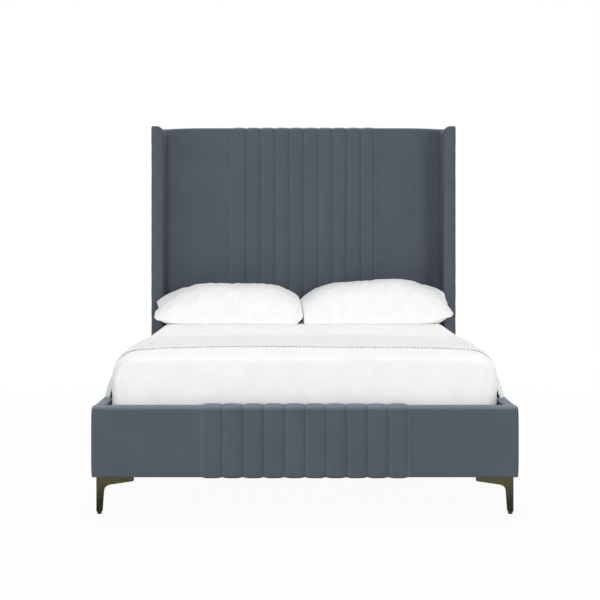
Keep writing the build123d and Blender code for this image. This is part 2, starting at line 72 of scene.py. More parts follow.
# Rounded edges of the upholstery
FOOT_TOP_RADIUS = 16 * MM
FOOT_BOTTOM_RADIUS = 11 * MM
REAR_EDGE_RADIUS = 8 * MM
CORNER_RADIUS = 8 * MM
RAIL_EDGE_RADIUS = 13 * MM
HEAD_EDGE_RADIUS = 13 * MM
WING_INNER_RADIUS = 36 * MM
WING_OUTER_RADIUS = 7 * MM
JOINT_RADIUS = 3 * MM
SHOULDER_DROP = 6 * MM
SHOULDER_RUN = 195 * MM

# How far plain velvet swells between its edges, and how far it is pulled in at them
FACE_SWELL = 2.2 * MM
EDGE_PULL = 1.5 * MM

# The channels: how wide a seam's groove is, how high and how far its puckers reach, how far the channels fade
# into the plain velvet, and how much less they rise over the top and under the bottom than on the face
GROOVE_REACH = 1.9 * MM
PUCKER_HEIGHT = 0.5 * MM
PUCKER_REACH = 9 * MM
CHANNEL_FADE = 26 * MM
FOOT_TOP_SINK = 4 * MM
FOOT_BOTTOM_SINK = 6.5 * MM
HEAD_TOP_SINK = 7.5 * MM

# How far the wings' fronts swell, and their seam's place behind the front, its depth and its reach
WING_CROWN = 1.6 * MM
WING_SEAM_PLACE = 9 * MM
WING_SEAM_DEPTH = 1.4 * MM
WING_SEAM_REACH = 1.5 * MM

# Sewing
TOP_STITCH_DEPTH = 0.5 * MM
TOP_STITCH_REACH = 1.6 * MM
STITCH_PITCH = 8 * MM
STITCH_LENGTH = 5.5 * MM
STITCH_RADIUS = 1.2 * MM
STITCH_SIDES = 6
STITCH_PROFILE = ((-0.5, 0.15), (-0.38, 0.8), (0.0, 1.0), (0.38, 0.8), (0.5, 0.15))
WELT_RADIUS = 2 * MM
WELT_SIDES = 8

# Bedding
SHOULDER = 88.5 * MM
DUVET_FOOT_RADIUS = 28 * MM
DUVET_CORNER = 45 * MM
DUVET_LOFT = 9 * MM
DUVET_SHELL = 13 * MM
# How far the duvet's cover sinks where it wrinkles, and the most that wrinkling moves each cover
DUVET_SLUMP = 2.5 * MM
DUVET_WRINKLE = 1.8 * MM
PILLOW_WRINKLE = 10 * MM
THROW_THICKNESS = 5.5 * MM
THROW_GAP = 0.7 * MM
# How far in from its hems the throw is rounded, scalloped and curled, and the most that it curls
HEM_ROUNDING = 5 * MM
HEM_SCALLOPS = 11 * MM
HEM_CURL = 32 * MM
HEM_CURL_DEPTH = 18 * MM
# How far the throw's front hem is drawn back on the crown of the duvet
FRONT_HEM_BACK = 45 * MM

# Cloth under simulation
DUVET_CLOTH = {
    "mass": 0.25,
    "tension_stiffness": 12,
    "compression_stiffness": 12,
    "shear_stiffness": 4,
    "bending_stiffness": 0.3,
}
PILLOW_CLOTH = {
    "mass": 0.2,
    "tension_stiffness": 14,
    "compression_stiffness": 14,
    "shear_stiffness": 5,
    "bending_stiffness": 0.2,
}

# Mesh spacing
PLAIN_STEP = 12 * MM
SOFT_STEP = 17 * MM
ARC_LINES = 5


# Small helpers
def linear(hex_colour):
    """An sRGB hex colour as linear RGBA."""
    shares = [int(hex_colour[at : at + 2], 16) / 255 for at in (1, 3, 5)]
    return (*(c / 12.92 if c <= 0.04045 else ((c + 0.055) / 1.055) ** 2.4 for c in shares), 1.0)


def smooth(value, start, end):
    """0 before start and 1 after end, with an eased slope between."""
    share = np.clip((value - start) / (end - start), 0, 1)
    return share * share * (3 - 2 * share)


def ripple(points, wavelength, seed, waves=10):
    """A smooth uneven field of about -1 to 1, whose hollows lie about a wavelength apart."""
    rng = np.random.default_rng(seed)
    total = np.zeros(len(points))
    for _ in range(waves):
        direction = rng.normal(size=3)
        direction *= math.tau * rng.uniform(0.7, 1.4) / wavelength / np.linalg.norm(direction)
        total += np.sin(points @ direction + rng.uniform(0, math.tau))
    return total / math.sqrt(waves)


def corners(node):
    """The low and high corners of a CAD node's box."""
    return (np.array(corner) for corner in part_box(node))


# Mesh helpers
def places(*groups):
    """Groups of places along an axis as one sorted row, each place once."""
    return np.unique(np.round(np.concatenate(groups), 6))


def lines_between(low, high, step, low_radius=0.0, high_radius=0.0):
    """Places from low to high, close together round the edges and evenly spaced between them."""
    arc = np.linspace(0, 1, ARC_LINES + 1)
    start, end = low + low_radius, high - high_radius
    middle = np.linspace(start, end, max(2, math.ceil((end - start) / step) + 1))
    return places(low + low_radius * arc, middle, high - high_radius * arc)


def grid_of(columns, rows):
    """The column and row number of each cell of a grid."""
    return (numbers.ravel() for numbers in np.meshgrid(range(columns), range(rows), indexing="ij"))


def grid_faces(columns, rows):
    """The faces of a grid of points that are numbered up one column after another."""
    i, j = grid_of(columns - 1, rows - 1)
    first = i * rows + j
    return np.stack([first, first + rows, first + rows + 1, first + 1], axis=1)


def box_skin(lines, keep):
    """The skin of a box, cut up by places along X, Y and Z. keep picks the cells that stay by their middles."""
    counts = [len(along) for along in lines]
    quads = []
    for axis in range(3):
        u, v = (axis + 1) % 3, (axis + 2) % 3
        for side in (0, 1):
            i, j = grid_of(counts[u] - 1, counts[v] - 1)
            middle = [None, None, None]
            middle[axis] = np.full(len(i), lines[axis][-side])
            middle[u] = (lines[u][i] + lines[u][i + 1]) / 2
            middle[v] = (lines[v][j] + lines[v][j + 1]) / 2
            chosen = np.broadcast_to(keep(axis, side, *middle), len(i))
            i, j = i[chosen], j[chosen]
            around = [(0, 0), (1, 0), (1, 1), (0, 1)] if side else [(0, 0), (0, 1), (1, 1), (1, 0)]
            keys = []
            for step_u, step_v in around:
                index = [None, None, None]
                index[axis] = np.full(len(i), side * (counts[axis] - 1))
                index[u], index[v] = i + step_u, j + step_v
                keys.append((index[0] * counts[1] + index[1]) * counts[2] + index[2])
            quads.append(np.stack(keys, axis=1))
    used, numbers = np.unique(np.concatenate(quads), return_inverse=True)
    xi, rest = np.divmod(used, counts[1] * counts[2])
    yi, zi = np.divmod(rest, counts[2])
    return np.stack([lines[0][xi], lines[1][yi], lines[2][zi]], axis=1), numbers.reshape(-1, 4)


def round_edge(points, low, high, first, second, radius):
    """Rounds a box's edge. first and second are (axis, side) of the two faces that meet in it."""
    past = []
    for axis, side in (first, second):
        past.append(points[:, axis] - high[axis] + radius if side else low[axis] + radius - points[:, axis])
    inside = (past[0] > 0) & (past[1] > 0)
    share = np.maximum(*past)[inside] / np.hypot(*past)[inside]
    for (axis, side), depth in zip((first, second), past):
        moved = depth[inside] * share
        points[inside, axis] = high[axis] - radius + moved if side else low[axis] + radius - moved


def outward(points, faces):
    """The direction away from the surface at each point."""
    a, b, c, d = (points[faces[:, corner]] for corner in range(4))
    across = np.cross(c - a, d - b)
    total = np.zeros_like(points)
    for corner in range(4):
        np.add.at(total, faces[:, corner], across)
    return total / np.maximum(np.linalg.norm(total, axis=1, keepdims=True), 1e-12)


def closed(outer, inner, faces):
    """A closed shell from an open cover: its faces turned over on the inner points, and a rim between."""
    count = len(outer)
    edges = np.concatenate([faces[:, [corner, (corner + 1) % 4]] for corner in range(4)])
    matched = np.isin(edges[:, 0] * count + edges[:, 1], edges[:, 1] * count + edges[:, 0])
    start, end = edges[~matched].T
    rim = np.stack([end, start, start + count, end + count], axis=1)
    return np.concatenate([outer, inner]), np.concatenate([faces, faces[:, ::-1] + count, rim])


def piece(name, points, faces, material, body, slot, replaces=(), crease_degrees=50):
    """A mesh object that rides on a body, shaded smooth except at sharp edges."""
    mesh = bpy.data.meshes.new(name)
    mesh.from_pydata(points.tolist(), [], faces.tolist())
    shape = bmesh.new()
    shape.from_mesh(mesh)
    bmesh.ops.remove_doubles(shape, verts=shape.verts, dist=1e-6)
    shape.to_mesh(mesh)
    shape.free()
    mesh.validate()
    mesh.shade_smooth()
    mesh.set_sharp_from_angle(angle=math.radians(crease_degrees))
    mesh.materials.append(material)
    made = bpy.data.objects.new(name, mesh)
    bpy.context.scene.collection.objects.link(made)
    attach(made, body)
    if replaces:
        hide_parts(*replaces)
    return made


# Materials
def per_metre(size_mm):
    """The scale of a noise or cell texture whose features measure size_mm."""
    return 1000 / size_mm


def band_scale(period_mm):
    """The scale of a wave texture whose bands lie period_mm apart."""
    return math.tau / 20 / (period_mm * MM)


def add_node(tree, kind, inputs, **settings):
    """Adds a node. Each input is a value, a socket to link, or a node whose first output is linked."""
    made = tree.nodes.new("ShaderNode" + kind)
    for name, value in settings.items():
        setattr(made, name, value)
    for socket, value in inputs.items():
        if isinstance(value, bpy.types.Node):
            value = value.outputs[0]
        if isinstance(value, bpy.types.NodeSocket):
            tree.links.new(value, made.inputs[socket])
        else:
            made.inputs[socket].default_value = value
    return made


def cleared(owner):
    """Takes the nodes out of a material or world, and returns a function that adds new ones."""
    owner.use_nodes = True
    owner.node_tree.nodes.clear()
    return partial(add_node, owner.node_tree)


def new_material(name):
    """An empty material, a function that adds its nodes, and the object's own coordinates."""
    material = bpy.data.materials.new(name)
    add = cleared(material)
    return material, add, add("TexCoord", {}).outputs["Object"]


# In the materials, MapRange's inputs 0 to 4 are the value, the range it comes from and the range it goes to,
# and Mix's inputs 0, 6 and 7 are the share and the two colours
def cotton_velvet(name, shade):
    """Cotton velvet, woven with a cut pile: matt, with painted light and sheen that make it paler where it faces
    left, sideways or up.
    """
    material, add, place = new_material(name)
    clouds = add("TexNoise", {"Vector": place, "Scale": per_metre(160), "Detail": 4.0, "Roughness": 0.55})
    # The real pile is 0.3 mm across, drawn at 1.5 mm so that it shows
    pile = add("TexNoise", {"Vector": place, "Scale": per_metre(1.5), "Detail": 2.0})
    facing = add("SeparateXYZ", {0: add("NewGeometry", {}).outputs["Normal"]}).outputs
    sideways = add("Math", {0: facing[0]}, operation="ABSOLUTE")
    tone_and_painted_light = add("MapRange", {0: clouds, 1: 0.3, 2: 0.7, 3: 0.95, 4: 1.05})
    # Painted light and sheen: paler where the velvet faces left, sideways or up, and darker where it faces right
    for turned, *ends in (
        (facing[0], -0.3, 0.3, 1.15, 0.92),
        (sideways, 0.7, 1.0, 1.0, 1.2),
        (facing[2], 0.2, 0.95, 1.0, 2.25),
    ):
        share = add("MapRange", {0: turned, **dict(enumerate(ends, 1))})
        tone_and_painted_light = add("Math", {0: tone_and_painted_light, 1: share}, operation="MULTIPLY")
    shader = add(
        "BsdfPrincipled",
        {
            "Base Color": add("VectorMath", {0: shade[:3], "Scale": tone_and_painted_light}, operation="SCALE"),
            "Normal": add("Bump", {"Height": pile, "Strength": 0.3, "Distance": 0.5 * MM}),
            "Roughness": 0.92,
            "Specular IOR Level": 0.12,
            "Sheen Weight": 0.07,
            "Sheen Roughness": 0.35,
            "Sheen Tint": linear("#c4d2da"),
        },
    )
    add("OutputMaterial", {0: shader})
    return material


def cotton_percale(name, shade, painted_crease_shade):
    """Cotton percale, plain-woven and washed: matt white with a fine tooth and soft creases, with painted shade
    a little darker in the creases' hollows.
    """
    material, add, place = new_material(name)
    creases = add("TexNoise", {"Vector": place, "Scale": per_metre(90), "Detail": 4.0, "Roughness": 0.5})
    # The real threads are 0.25 mm apart, drawn at 1.2 mm so that they show
    threads = add("TexNoise", {"Vector": place, "Scale": per_metre(1.2), "Detail": 1.0})
    fine = add("Bump", {"Height": threads, "Strength": 0.12, "Distance": 0.3 * MM})
    soft = add("Bump", {"Height": creases, "Strength": 0.3, "Distance": 6 * MM, "Normal": fine})
    # Painted shade: the low parts of the creases' bump get the darker colour
    share = add("MapRange", {0: creases, 1: 0.35, 2: 0.65})
    colour = add("Mix", {0: share, 6: linear(painted_crease_shade), 7: linear(shade)}, data_type="RGBA").outputs[2]
    looks = {
        "Base Color": colour,
        "Normal": soft,
        "Roughness": 0.85,
        "Specular IOR Level": 0.25,
        "Sheen Weight": 0.1,
    }
    add("OutputMaterial", {0: add("BsdfPrincipled", looks)})
    return material


def wool_knit(name, shade, painted_hollow_shade):
    """Lambswool, machine-knitted in ribs and brushed: matt and pale, with a loop at each stitch, and painted
    shade a little darker in the hollows between the loops.
    """
    material, add, place = new_material(name)
    loops = add("TexWave", {"Vector": place, "Scale": band_scale(7), "Distortion": 1.5}, bands_direction="Y")
    fuzz = add("TexNoise", {"Vector": place, "Scale": per_metre(2), "Detail": 3.0})
    height = add("Math", {0: loops.outputs["Fac"], 1: fuzz}, operation="ADD")
    bump = add("Bump", {"Height": height, "Strength": 0.6, "Distance": 1.2 * MM})
    # Painted shade: the low parts of the loops' bump get the darker colour
    share = add("MapRange", {0: height, 1: 0.5, 2: 1.3})
    colour = add("Mix", {0: share, 6: linear(painted_hollow_shade), 7: linear(shade)}, data_type="RGBA").outputs[2]
    looks = {
        "Base Color": colour,
        "Normal": bump,
        "Roughness": 0.95,
        "Specular IOR Level": 0.15,
        "Sheen Weight": 0.2,
    }
    add("OutputMaterial", {0: add("BsdfPrincipled", looks)})
    return material


def spunbond_cloth(name):
    """Polypropylene spunbond, pressed with small diamonds: thin black dust cloth."""
    material, add, place = new_material(name)
    cells = add("TexVoronoi", {"Vector": place, "Scale": per_metre(3)}, feature="DISTANCE_TO_EDGE")
    fibres = add("TexNoise", {"Vector": place, "Scale": per_metre(5), "Detail": 5.0, "Roughness": 0.7})
    bump = add("Bump", {"Height": cells, "Strength": 0.4, "Distance": 0.3 * MM})
    colour = add("Mix", {0: fibres, 6: linear("#17181a"), 7: linear("#2c2d30")}, data_type="RGBA").outputs[2]
    looks = {"Base Color": colour, "Normal": bump, "Roughness": 0.8}
    add("OutputMaterial", {0: add("BsdfPrincipled", looks)})
    return material


def planed_timber(name, grain_axis, early, late, ring_mm):
    """Planed spruce or birch plywood: straight grain in bands along the piece, uneven in colour."""
    material, add, place = new_material(name)
    stretch = [1.0, 1.0, 1.0]
    stretch[grain_axis] = 0.06
    drawn = add("Mapping", {"Vector": place, "Scale": stretch})
    wander = add("TexNoise", {"Vector": drawn, "Scale": per_metre(60), "Detail": 4.0, "Roughness": 0.6})
    rings = add("TexNoise", {"Vector": drawn, "Scale": per_metre(ring_mm), "Detail": 6.0, "Distortion": 0.6})
    pores = add("TexNoise", {"Vector": drawn, "Scale": per_metre(1.5), "Detail": 3.0})
    share = add("MapRange", {0: rings, 1: 0.35, 2: 0.65})
    grain = add("Mix", {0: share, 6: linear(late), 7: linear(early)}, data_type="RGBA").outputs[2]
    shade = {0: 0.35, 6: grain, 7: wander.outputs["Color"]}
    colour = add("Mix", shade, data_type="RGBA", blend_type="SOFT_LIGHT").outputs[2]
    bump = add("Bump", {"Height": pores, "Strength": 0.3, "Distance": 0.3 * MM})
    looks = {"Base Color": colour, "Normal": bump, "Roughness": 0.62}
    add("OutputMaterial", {0: add("BsdfPrincipled", looks)})
    return material


def zinc_plated_steel(name):
    """Mild steel, pressed and bright zinc plated: grey with a cloudy bloom and fine rolling marks."""
    material, add, place = new_material(name)
    bloom = add("TexNoise", {"Vector": place, "Scale": per_metre(18), "Detail": 4.0})
    marks = add("Mapping", {"Vector": place, "Scale": (1.0, 1.0, 0.1)})
    rolling = add("TexNoise", {"Vector": marks, "Scale": per_metre(0.8), "Detail": 2.0})
    colour = add("Mix", {0: bloom, 6: linear("#8d9196"), 7: linear("#b9bcbd")}, data_type="RGBA").outputs[2]
    rough = add("MapRange", {0: bloom, 3: 0.28, 4: 0.5})
    bump = add("Bump", {"Height": rolling, "Strength": 0.2, "Distance": 0.1 * MM})
    looks = {"Base Color": colour, "Normal": bump, "Roughness": rough, "Metallic": 1.0}
    add("OutputMaterial", {0: add("BsdfPrincipled", looks)})
    return material


def antique_bronze(name, upper_shade, painted_lower_shade, height):
    """Die-cast zinc, bronze plated: olive brown and uneven, with painted shade that darkens it low down on the
    leg.
    """
    material, add, place = new_material(name)
    level = add("SeparateXYZ", {0: place}).outputs[2]
    clouds = add("TexNoise", {"Vector": place, "Scale": per_metre(30), "Detail": 2.0, "Distortion": 1.4})
    lines = add("Mapping", {"Vector": place, "Scale": (0.12, 0.12, 1.0)})
    brushing = add("TexNoise", {"Vector": lines, "Scale": per_metre(0.9), "Detail": 2.0})
    # Painted shade: darker towards the bottom of the leg and paler towards its top
    painted_shade_by_height = add("MapRange", {0: level, 1: 0.15 * height, 2: 0.85 * height})
    uneven_and_painted_shade = add("Math", {0: clouds, 1: 1.6, 2: painted_shade_by_height}, operation="MULTIPLY_ADD")
    share = add("MapRange", {0: uneven_and_painted_shade, 1: 0.7, 2: 1.9})
    shades = {0: share, 6: linear(painted_lower_shade), 7: linear(upper_shade)}
    colour = add("Mix", shades, data_type="RGBA").outputs[2]
    rough = add("MapRange", {0: brushing, 3: 0.26, 4: 0.46})
    bump = add("Bump", {"Height": brushing, "Strength": 0.15, "Distance": 0.1 * MM})
    looks = {"Base Color": colour, "Normal": bump, "Roughness": rough, "Metallic": 1.0}
    add("OutputMaterial", {0: add("BsdfPrincipled", looks)})
    return material


def moulded_plastic(name, shade, worn_shade):
    """Polypropylene, injection moulded with a spark-eroded grain: dull black, greyer where it rubs."""
    material, add, place = new_material(name)
    grain = add("TexNoise", {"Vector": place, "Scale": per_metre(1), "Detail": 2.0})
    scuffs = add("TexNoise", {"Vector": place, "Scale": per_metre(9), "Detail": 5.0})
    share = add("MapRange", {0: scuffs, 1: 0.5, 2: 0.75})
    colour = add("Mix", {0: share, 6: linear(shade), 7: linear(worn_shade)}, data_type="RGBA").outputs[2]
    bump = add("Bump", {"Height": grain, "Strength": 0.25, "Distance": 0.2 * MM})
    looks = {"Base Color": colour, "Normal": bump, "Roughness": 0.5}
    add("OutputMaterial", {0: add("BsdfPrincipled", looks)})
    return material


def velvet_material():
    """The bed's one velvet, made at its first use."""
    shade = bpy.context.scene.bed_upholstery.velvet
    return bpy.data.materials.get("cotton_velvet_woven") or cotton_velvet("cotton_velvet_woven", shade)


def thread_material():
    """The top-stitching's thread, a shade lighter than the velvet."""
    found = bpy.data.materials.get("polyester_thread_twisted")
    return found or cotton_velvet("polyester_thread_twisted", linear("#8c98a0"))


def percale_material():
    """The cotton of the mattress's sheet, the duvet and the pillows, made at its first use."""
    found = bpy.data.materials.get("cotton_percale_woven")
    return found or cotton_percale("cotton_percale_woven", "#fafaf8", "#f6f6f5")


def dress(material, *prefixes):
    """Gives a material to the CAD nodes whose names start with one of these words."""
    for name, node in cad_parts.items():
        if name.startswith(prefixes):
            node.data.materials.clear()
            node.data.materials.append(material)


# Channels and sewing
def channel_lines(low, high, half, width, step):
    """Places across the bed: crowded beside each seam, even over the plain ends."""
    offsets = np.array([0, 0.9, 1.8, 3, 4.5, 6.5, 9.5, 14, 19.5, 26, 33, 40]) * MM * (width / (80 * MM))
    across = np.concatenate([offsets, width - offsets[:-1]])
    channels = [seam + across for seam in np.arange(-half, half - width / 2, width)]
    ends = lines_between(low, -half, step, CORNER_RADIUS), lines_between(half, high, step, 0, CORNER_RADIUS)
    return places(*channels, *ends)


def channel_rise(x, along, sizes):
    """How far the channelled velvet stands proud of the plain velvet, at x and at a place along the seam."""
    half = sizes.channel_count * sizes.channel_width / 2
    place = (x + half) / sizes.channel_width
    side = 2 * (place - np.floor(place)) - 1
    outer_half = ((place < 0.5) & (side < 0)) | ((place > sizes.channel_count - 0.5) & (side > 0))
    bulge = 1 - np.where(outer_half, 0, np.abs(side)) ** sizes.channel_squareness
    nearest = np.clip(np.round(place), 1, sizes.channel_count - 1)
    off_seam = np.abs(place - nearest) * sizes.channel_width
    puckers = np.sin(along / (19 * MM) + 2.3 * nearest) * np.sin(along / (47 * MM) + 1.1 * nearest)
    rise = sizes.channel_step + sizes.channel_crown * bulge
    rise -= sizes.seam_depth * np.exp(-((off_seam / GROOVE_REACH) ** 2))
    rise += PUCKER_HEIGHT * puckers * np.exp(-off_seam / PUCKER_REACH)
    return rise * smooth(half + CHANNEL_FADE - np.abs(x), 0, 2 * CHANNEL_FADE)


def top_stitch_groove(x, half):
    """The shallow hollow under the line of top-stitching at each side of the channels."""
    return -TOP_STITCH_DEPTH * np.exp(-(((np.abs(x) - half) / TOP_STITCH_REACH) ** 2))


def tube(path, across, up, radii, sides):
    """The points of a tube: at each place of a path, a ring that lies along across and up."""
    angles = math.tau * np.arange(sides)[:, None] / sides
    ring = np.cos(angles) * across[:, None] + np.sin(angles) * up[:, None]
    return (path[:, None] + radii[:, None, None] * ring).reshape(-1, 3)


def tube_faces(rings, sides):
    """The faces of a closed tube: its sides, and each end cut into quads."""
    i, j = grid_of(rings - 1, sides)
    here, beside = i * sides + j, i * sides + (j + 1) % sides
    skin = np.stack([here, here + sides, beside + sides, beside], axis=1)
    cap = np.array([[0, corner, corner + 1, corner + 2] for corner in range(1, sides - 2, 2)])
    return np.concatenate([skin, cap, (rings - 1) * sides + cap[:, ::-1]])


def stitches(
    name,
    path,
    normals,
    material,
    pitch=STITCH_PITCH,
    length=STITCH_LENGTH,
    radius=STITCH_RADIUS,
    body="bed_frame",
    slot="velvet",
):
    """A row of stitches along a path of points, half sunk in the cloth."""
    travelled = np.concatenate([[0], np.cumsum(np.linalg.norm(np.diff(path, axis=0), axis=1))])
    middles = np.arange(pitch, travelled[-1] - pitch, pitch)

    def at(values, distances):
        return np.stack([np.interp(distances, travelled, values[:, axis]) for axis in range(3)], axis=1)

    centres, up = at(path, middles), at(normals, middles)
    run = at(path, middles + MM) - centres
    run /= np.linalg.norm(run, axis=1, keepdims=True)
    shares, thick = np.array(STITCH_PROFILE).T
    points = []
    for centre, along, out in zip(centres, run, up):
        line = centre + np.outer(shares * length, along)
        points.append(tube(line, np.cross(along, out)[None], out[None], radius * thick, STITCH_SIDES))
    faces = tube_faces(len(shares), STITCH_SIDES)
    starts = len(points[0]) * np.arange(len(points))
    faces = (faces[None] + starts[:, None, None]).reshape(-1, 4)
    return piece(name, np.concatenate(points), faces, material, body, slot)


def top_stitching(name, points, normals, on_face, half):
    """A row of stitches up each side of the channels, along the points of the cover's face."""
    for side, sign in (("left", -1), ("right", 1)):
        on_line = np.flatnonzero(on_face & (np.abs(points[:, 0] - sign * half) < 0.1 * MM))
        on_line = on_line[np.argsort(points[on_line, 2])]
        stitches(f"{name}_top_stitch_{side}", points[on_line], normals[on_line], thread_material())


def welt(name, path, across, radius, material):
    """A fabric-covered cord sewn along an edge. across is a direction that the whole path is square to."""
    run = np.gradient(path, axis=0)
    run /= np.linalg.norm(run, axis=1, keepdims=True)
    across = np.tile(across, (len(path), 1))
    points = tube(path, across, np.cross(across, run), np.full(len(path), radius), WELT_SIDES)
    return piece(name, points, tube_faces(len(path), WELT_SIDES), material, "bed_frame", "velvet")


def velvet_cover(name, points, faces, node):
    """A closed velvet cover over foam, in place of its CAD node."""
    made = piece(name, points, faces, velvet_material(), "bed_frame", "velvet", [node])


def velvet_pair(name, points, faces, node):
    """The same cover on the right of the bed and, mirrored, on the left."""
    velvet_cover(f"{name}_right", points, faces, f"{node}_right")
    velvet_cover(f"{name}_left", points * (-1, 1, 1), faces[:, ::-1], f"{node}_left")


# Cloth simulation
def settled(points, faces, frames, pins, **settings):
    """The points of a cloth after a simulation, with pins as each point's hold from 0 to 1."""
    scene = bpy.context.scene
    mesh = bpy.data.meshes.new("cloth_on_trial")
    mesh.from_pydata(points.tolist(), [], faces.tolist())
    made = bpy.data.objects.new("cloth_on_trial", mesh)
    scene.collection.objects.link(made)
    group = made.vertex_groups.new(name="held")
    pins = np.round(pins, 2)
    for weight in np.unique(pins):
        group.add(np.flatnonzero(pins == weight).tolist(), float(weight), "REPLACE")
    cloth = made.modifiers.new("Cloth", "CLOTH")
    cloth.settings.effector_weights.gravity = 0
    cloth.collision_settings.use_collision = False
    settings.update(quality=5, pin_stiffness=1.0, vertex_group_mass=group.name)
    for name, value in settings.items():
        setattr(cloth.settings, name, value)
    cloth.point_cache.frame_start = 1
    cloth.point_cache.frame_end = frames
    for number in range(1, frames + 1):
        scene.frame_set(number)
    ready = made.evaluated_get(bpy.context.evaluated_depsgraph_get())
    ended = np.zeros(len(points) * 3)
    ready.data.vertices.foreach_get("co", ended)
    bpy.data.objects.remove(made)
    bpy.data.meshes.remove(mesh)
    scene.frame_set(1)
    return ended.reshape(-1, 3)


def capped(start, ended, most):
    """Each point's move cut down to a greatest length, softly."""
    move = ended - start
    size = np.linalg.norm(move, axis=1, keepdims=True)
    return start + move * (most * np.tanh(size / most) / np.maximum(size, 1e-9))


# What a user can change
class BedUpholstery(bpy.types.PropertyGroup):
    velvet: bpy.props.FloatVectorProperty(
        name="Velvet",
        description="Colour of the velvet, face on",
        subtype="COLOR",
        min=0,
        max=1,
        default=linear("#535a61")[:3],
    )
    channel_count: bpy.props.IntProperty(
        name="Channels", description="Channels across the headboard and footboard", default=10, min=2, max=18
    )
    channel_width: bpy.props.FloatProperty(
        name="Channel width", description="From seam to seam", unit="LENGTH", default=80 * MM, min=0.03, max=0.2
    )
    channel_step: bpy.props.FloatProperty(
        name="Channel step",
        description="How far the channels' seams stand proud of the plain velvet",
        unit="LENGTH",
        default=5.5 * MM,
    )
    channel_crown: bpy.props.FloatProperty(
        name="Channel crown", description="How far a channel swells between seams", unit="LENGTH", default=5 * MM
    )
    channel_squareness: bpy.props.FloatProperty(
        name="Channel squareness",
        description="2 is a round channel, more is flatter",
        default=3.4,
        min=1.5,
        max=8,
    )
    seam_depth: bpy.props.FloatProperty(
        name="Seam depth", description="Depth of the tight groove at each seam", unit="LENGTH", default=1.1 * MM
    )


class BedBedding(bpy.types.PropertyGroup):
    duvet_fold: bpy.props.FloatProperty(
        name="Corner fold",
        description="Depth of the folds at the duvet's foot corners",
        unit="LENGTH",
        default=7 * MM,
    )
    duvet_slack: bpy.props.FloatProperty(
        name="Duvet slack",
        description="Spare cloth that wrinkles over the duvet, as a share",
        default=0.008,
        min=0,
        max=0.1,
    )
    rib_pitch: bpy.props.FloatProperty(
        name="Rib pitch", description="From rib to rib of the throw", unit="LENGTH", default=15 * MM, min=0.004
    )
    rib_height: bpy.props.FloatProperty(
        name="Rib height", description="How far the throw's ribs stand up", unit="LENGTH", default=1.3 * MM
    )
    pillow_slack: bpy.props.FloatProperty(
        name="Pillow slack",
        description="Spare cloth that wrinkles over the pillows, as a share",
        default=0.02,
        min=0,
        max=0.1,
    )


class BedStage(bpy.types.PropertyGroup):
    camera_height: bpy.props.FloatProperty(
        name="Camera height", description="Above the floor", unit="LENGTH", default=1.108
    )
    camera_distance: bpy.props.FloatProperty(
        name="Camera distance", description="From the footboard's face", unit="LENGTH", default=4.70
    )
    camera_side: bpy.props.FloatProperty(
        name="Camera side", description="To the right of the bed's middle", unit="LENGTH", default=-0.019
    )
    focal_length: bpy.props.FloatProperty(
        name="Focal length", description="On a 36 mm wide sensor", unit="CAMERA", default=73.15
    )
    horizon: bpy.props.FloatProperty(
        name="Horizon", description="How far above the middle of the picture the horizon lies", default=0.12
    )
    daylight: bpy.props.FloatProperty(
        name="Daylight", description="Strength of the even light from all round", default=0.36, min=0
    )
    key: bpy.props.FloatProperty(
        name="Key", description="Strength of the light from the right", default=0.62, min=0
    )
    front: bpy.props.FloatProperty(
        name="Front", description="Strength of the broad front light", default=0.90, min=0
    )
    top: bpy.props.FloatProperty(
        name="Top", description="Strength of the light from above", default=1.75, min=0
    )


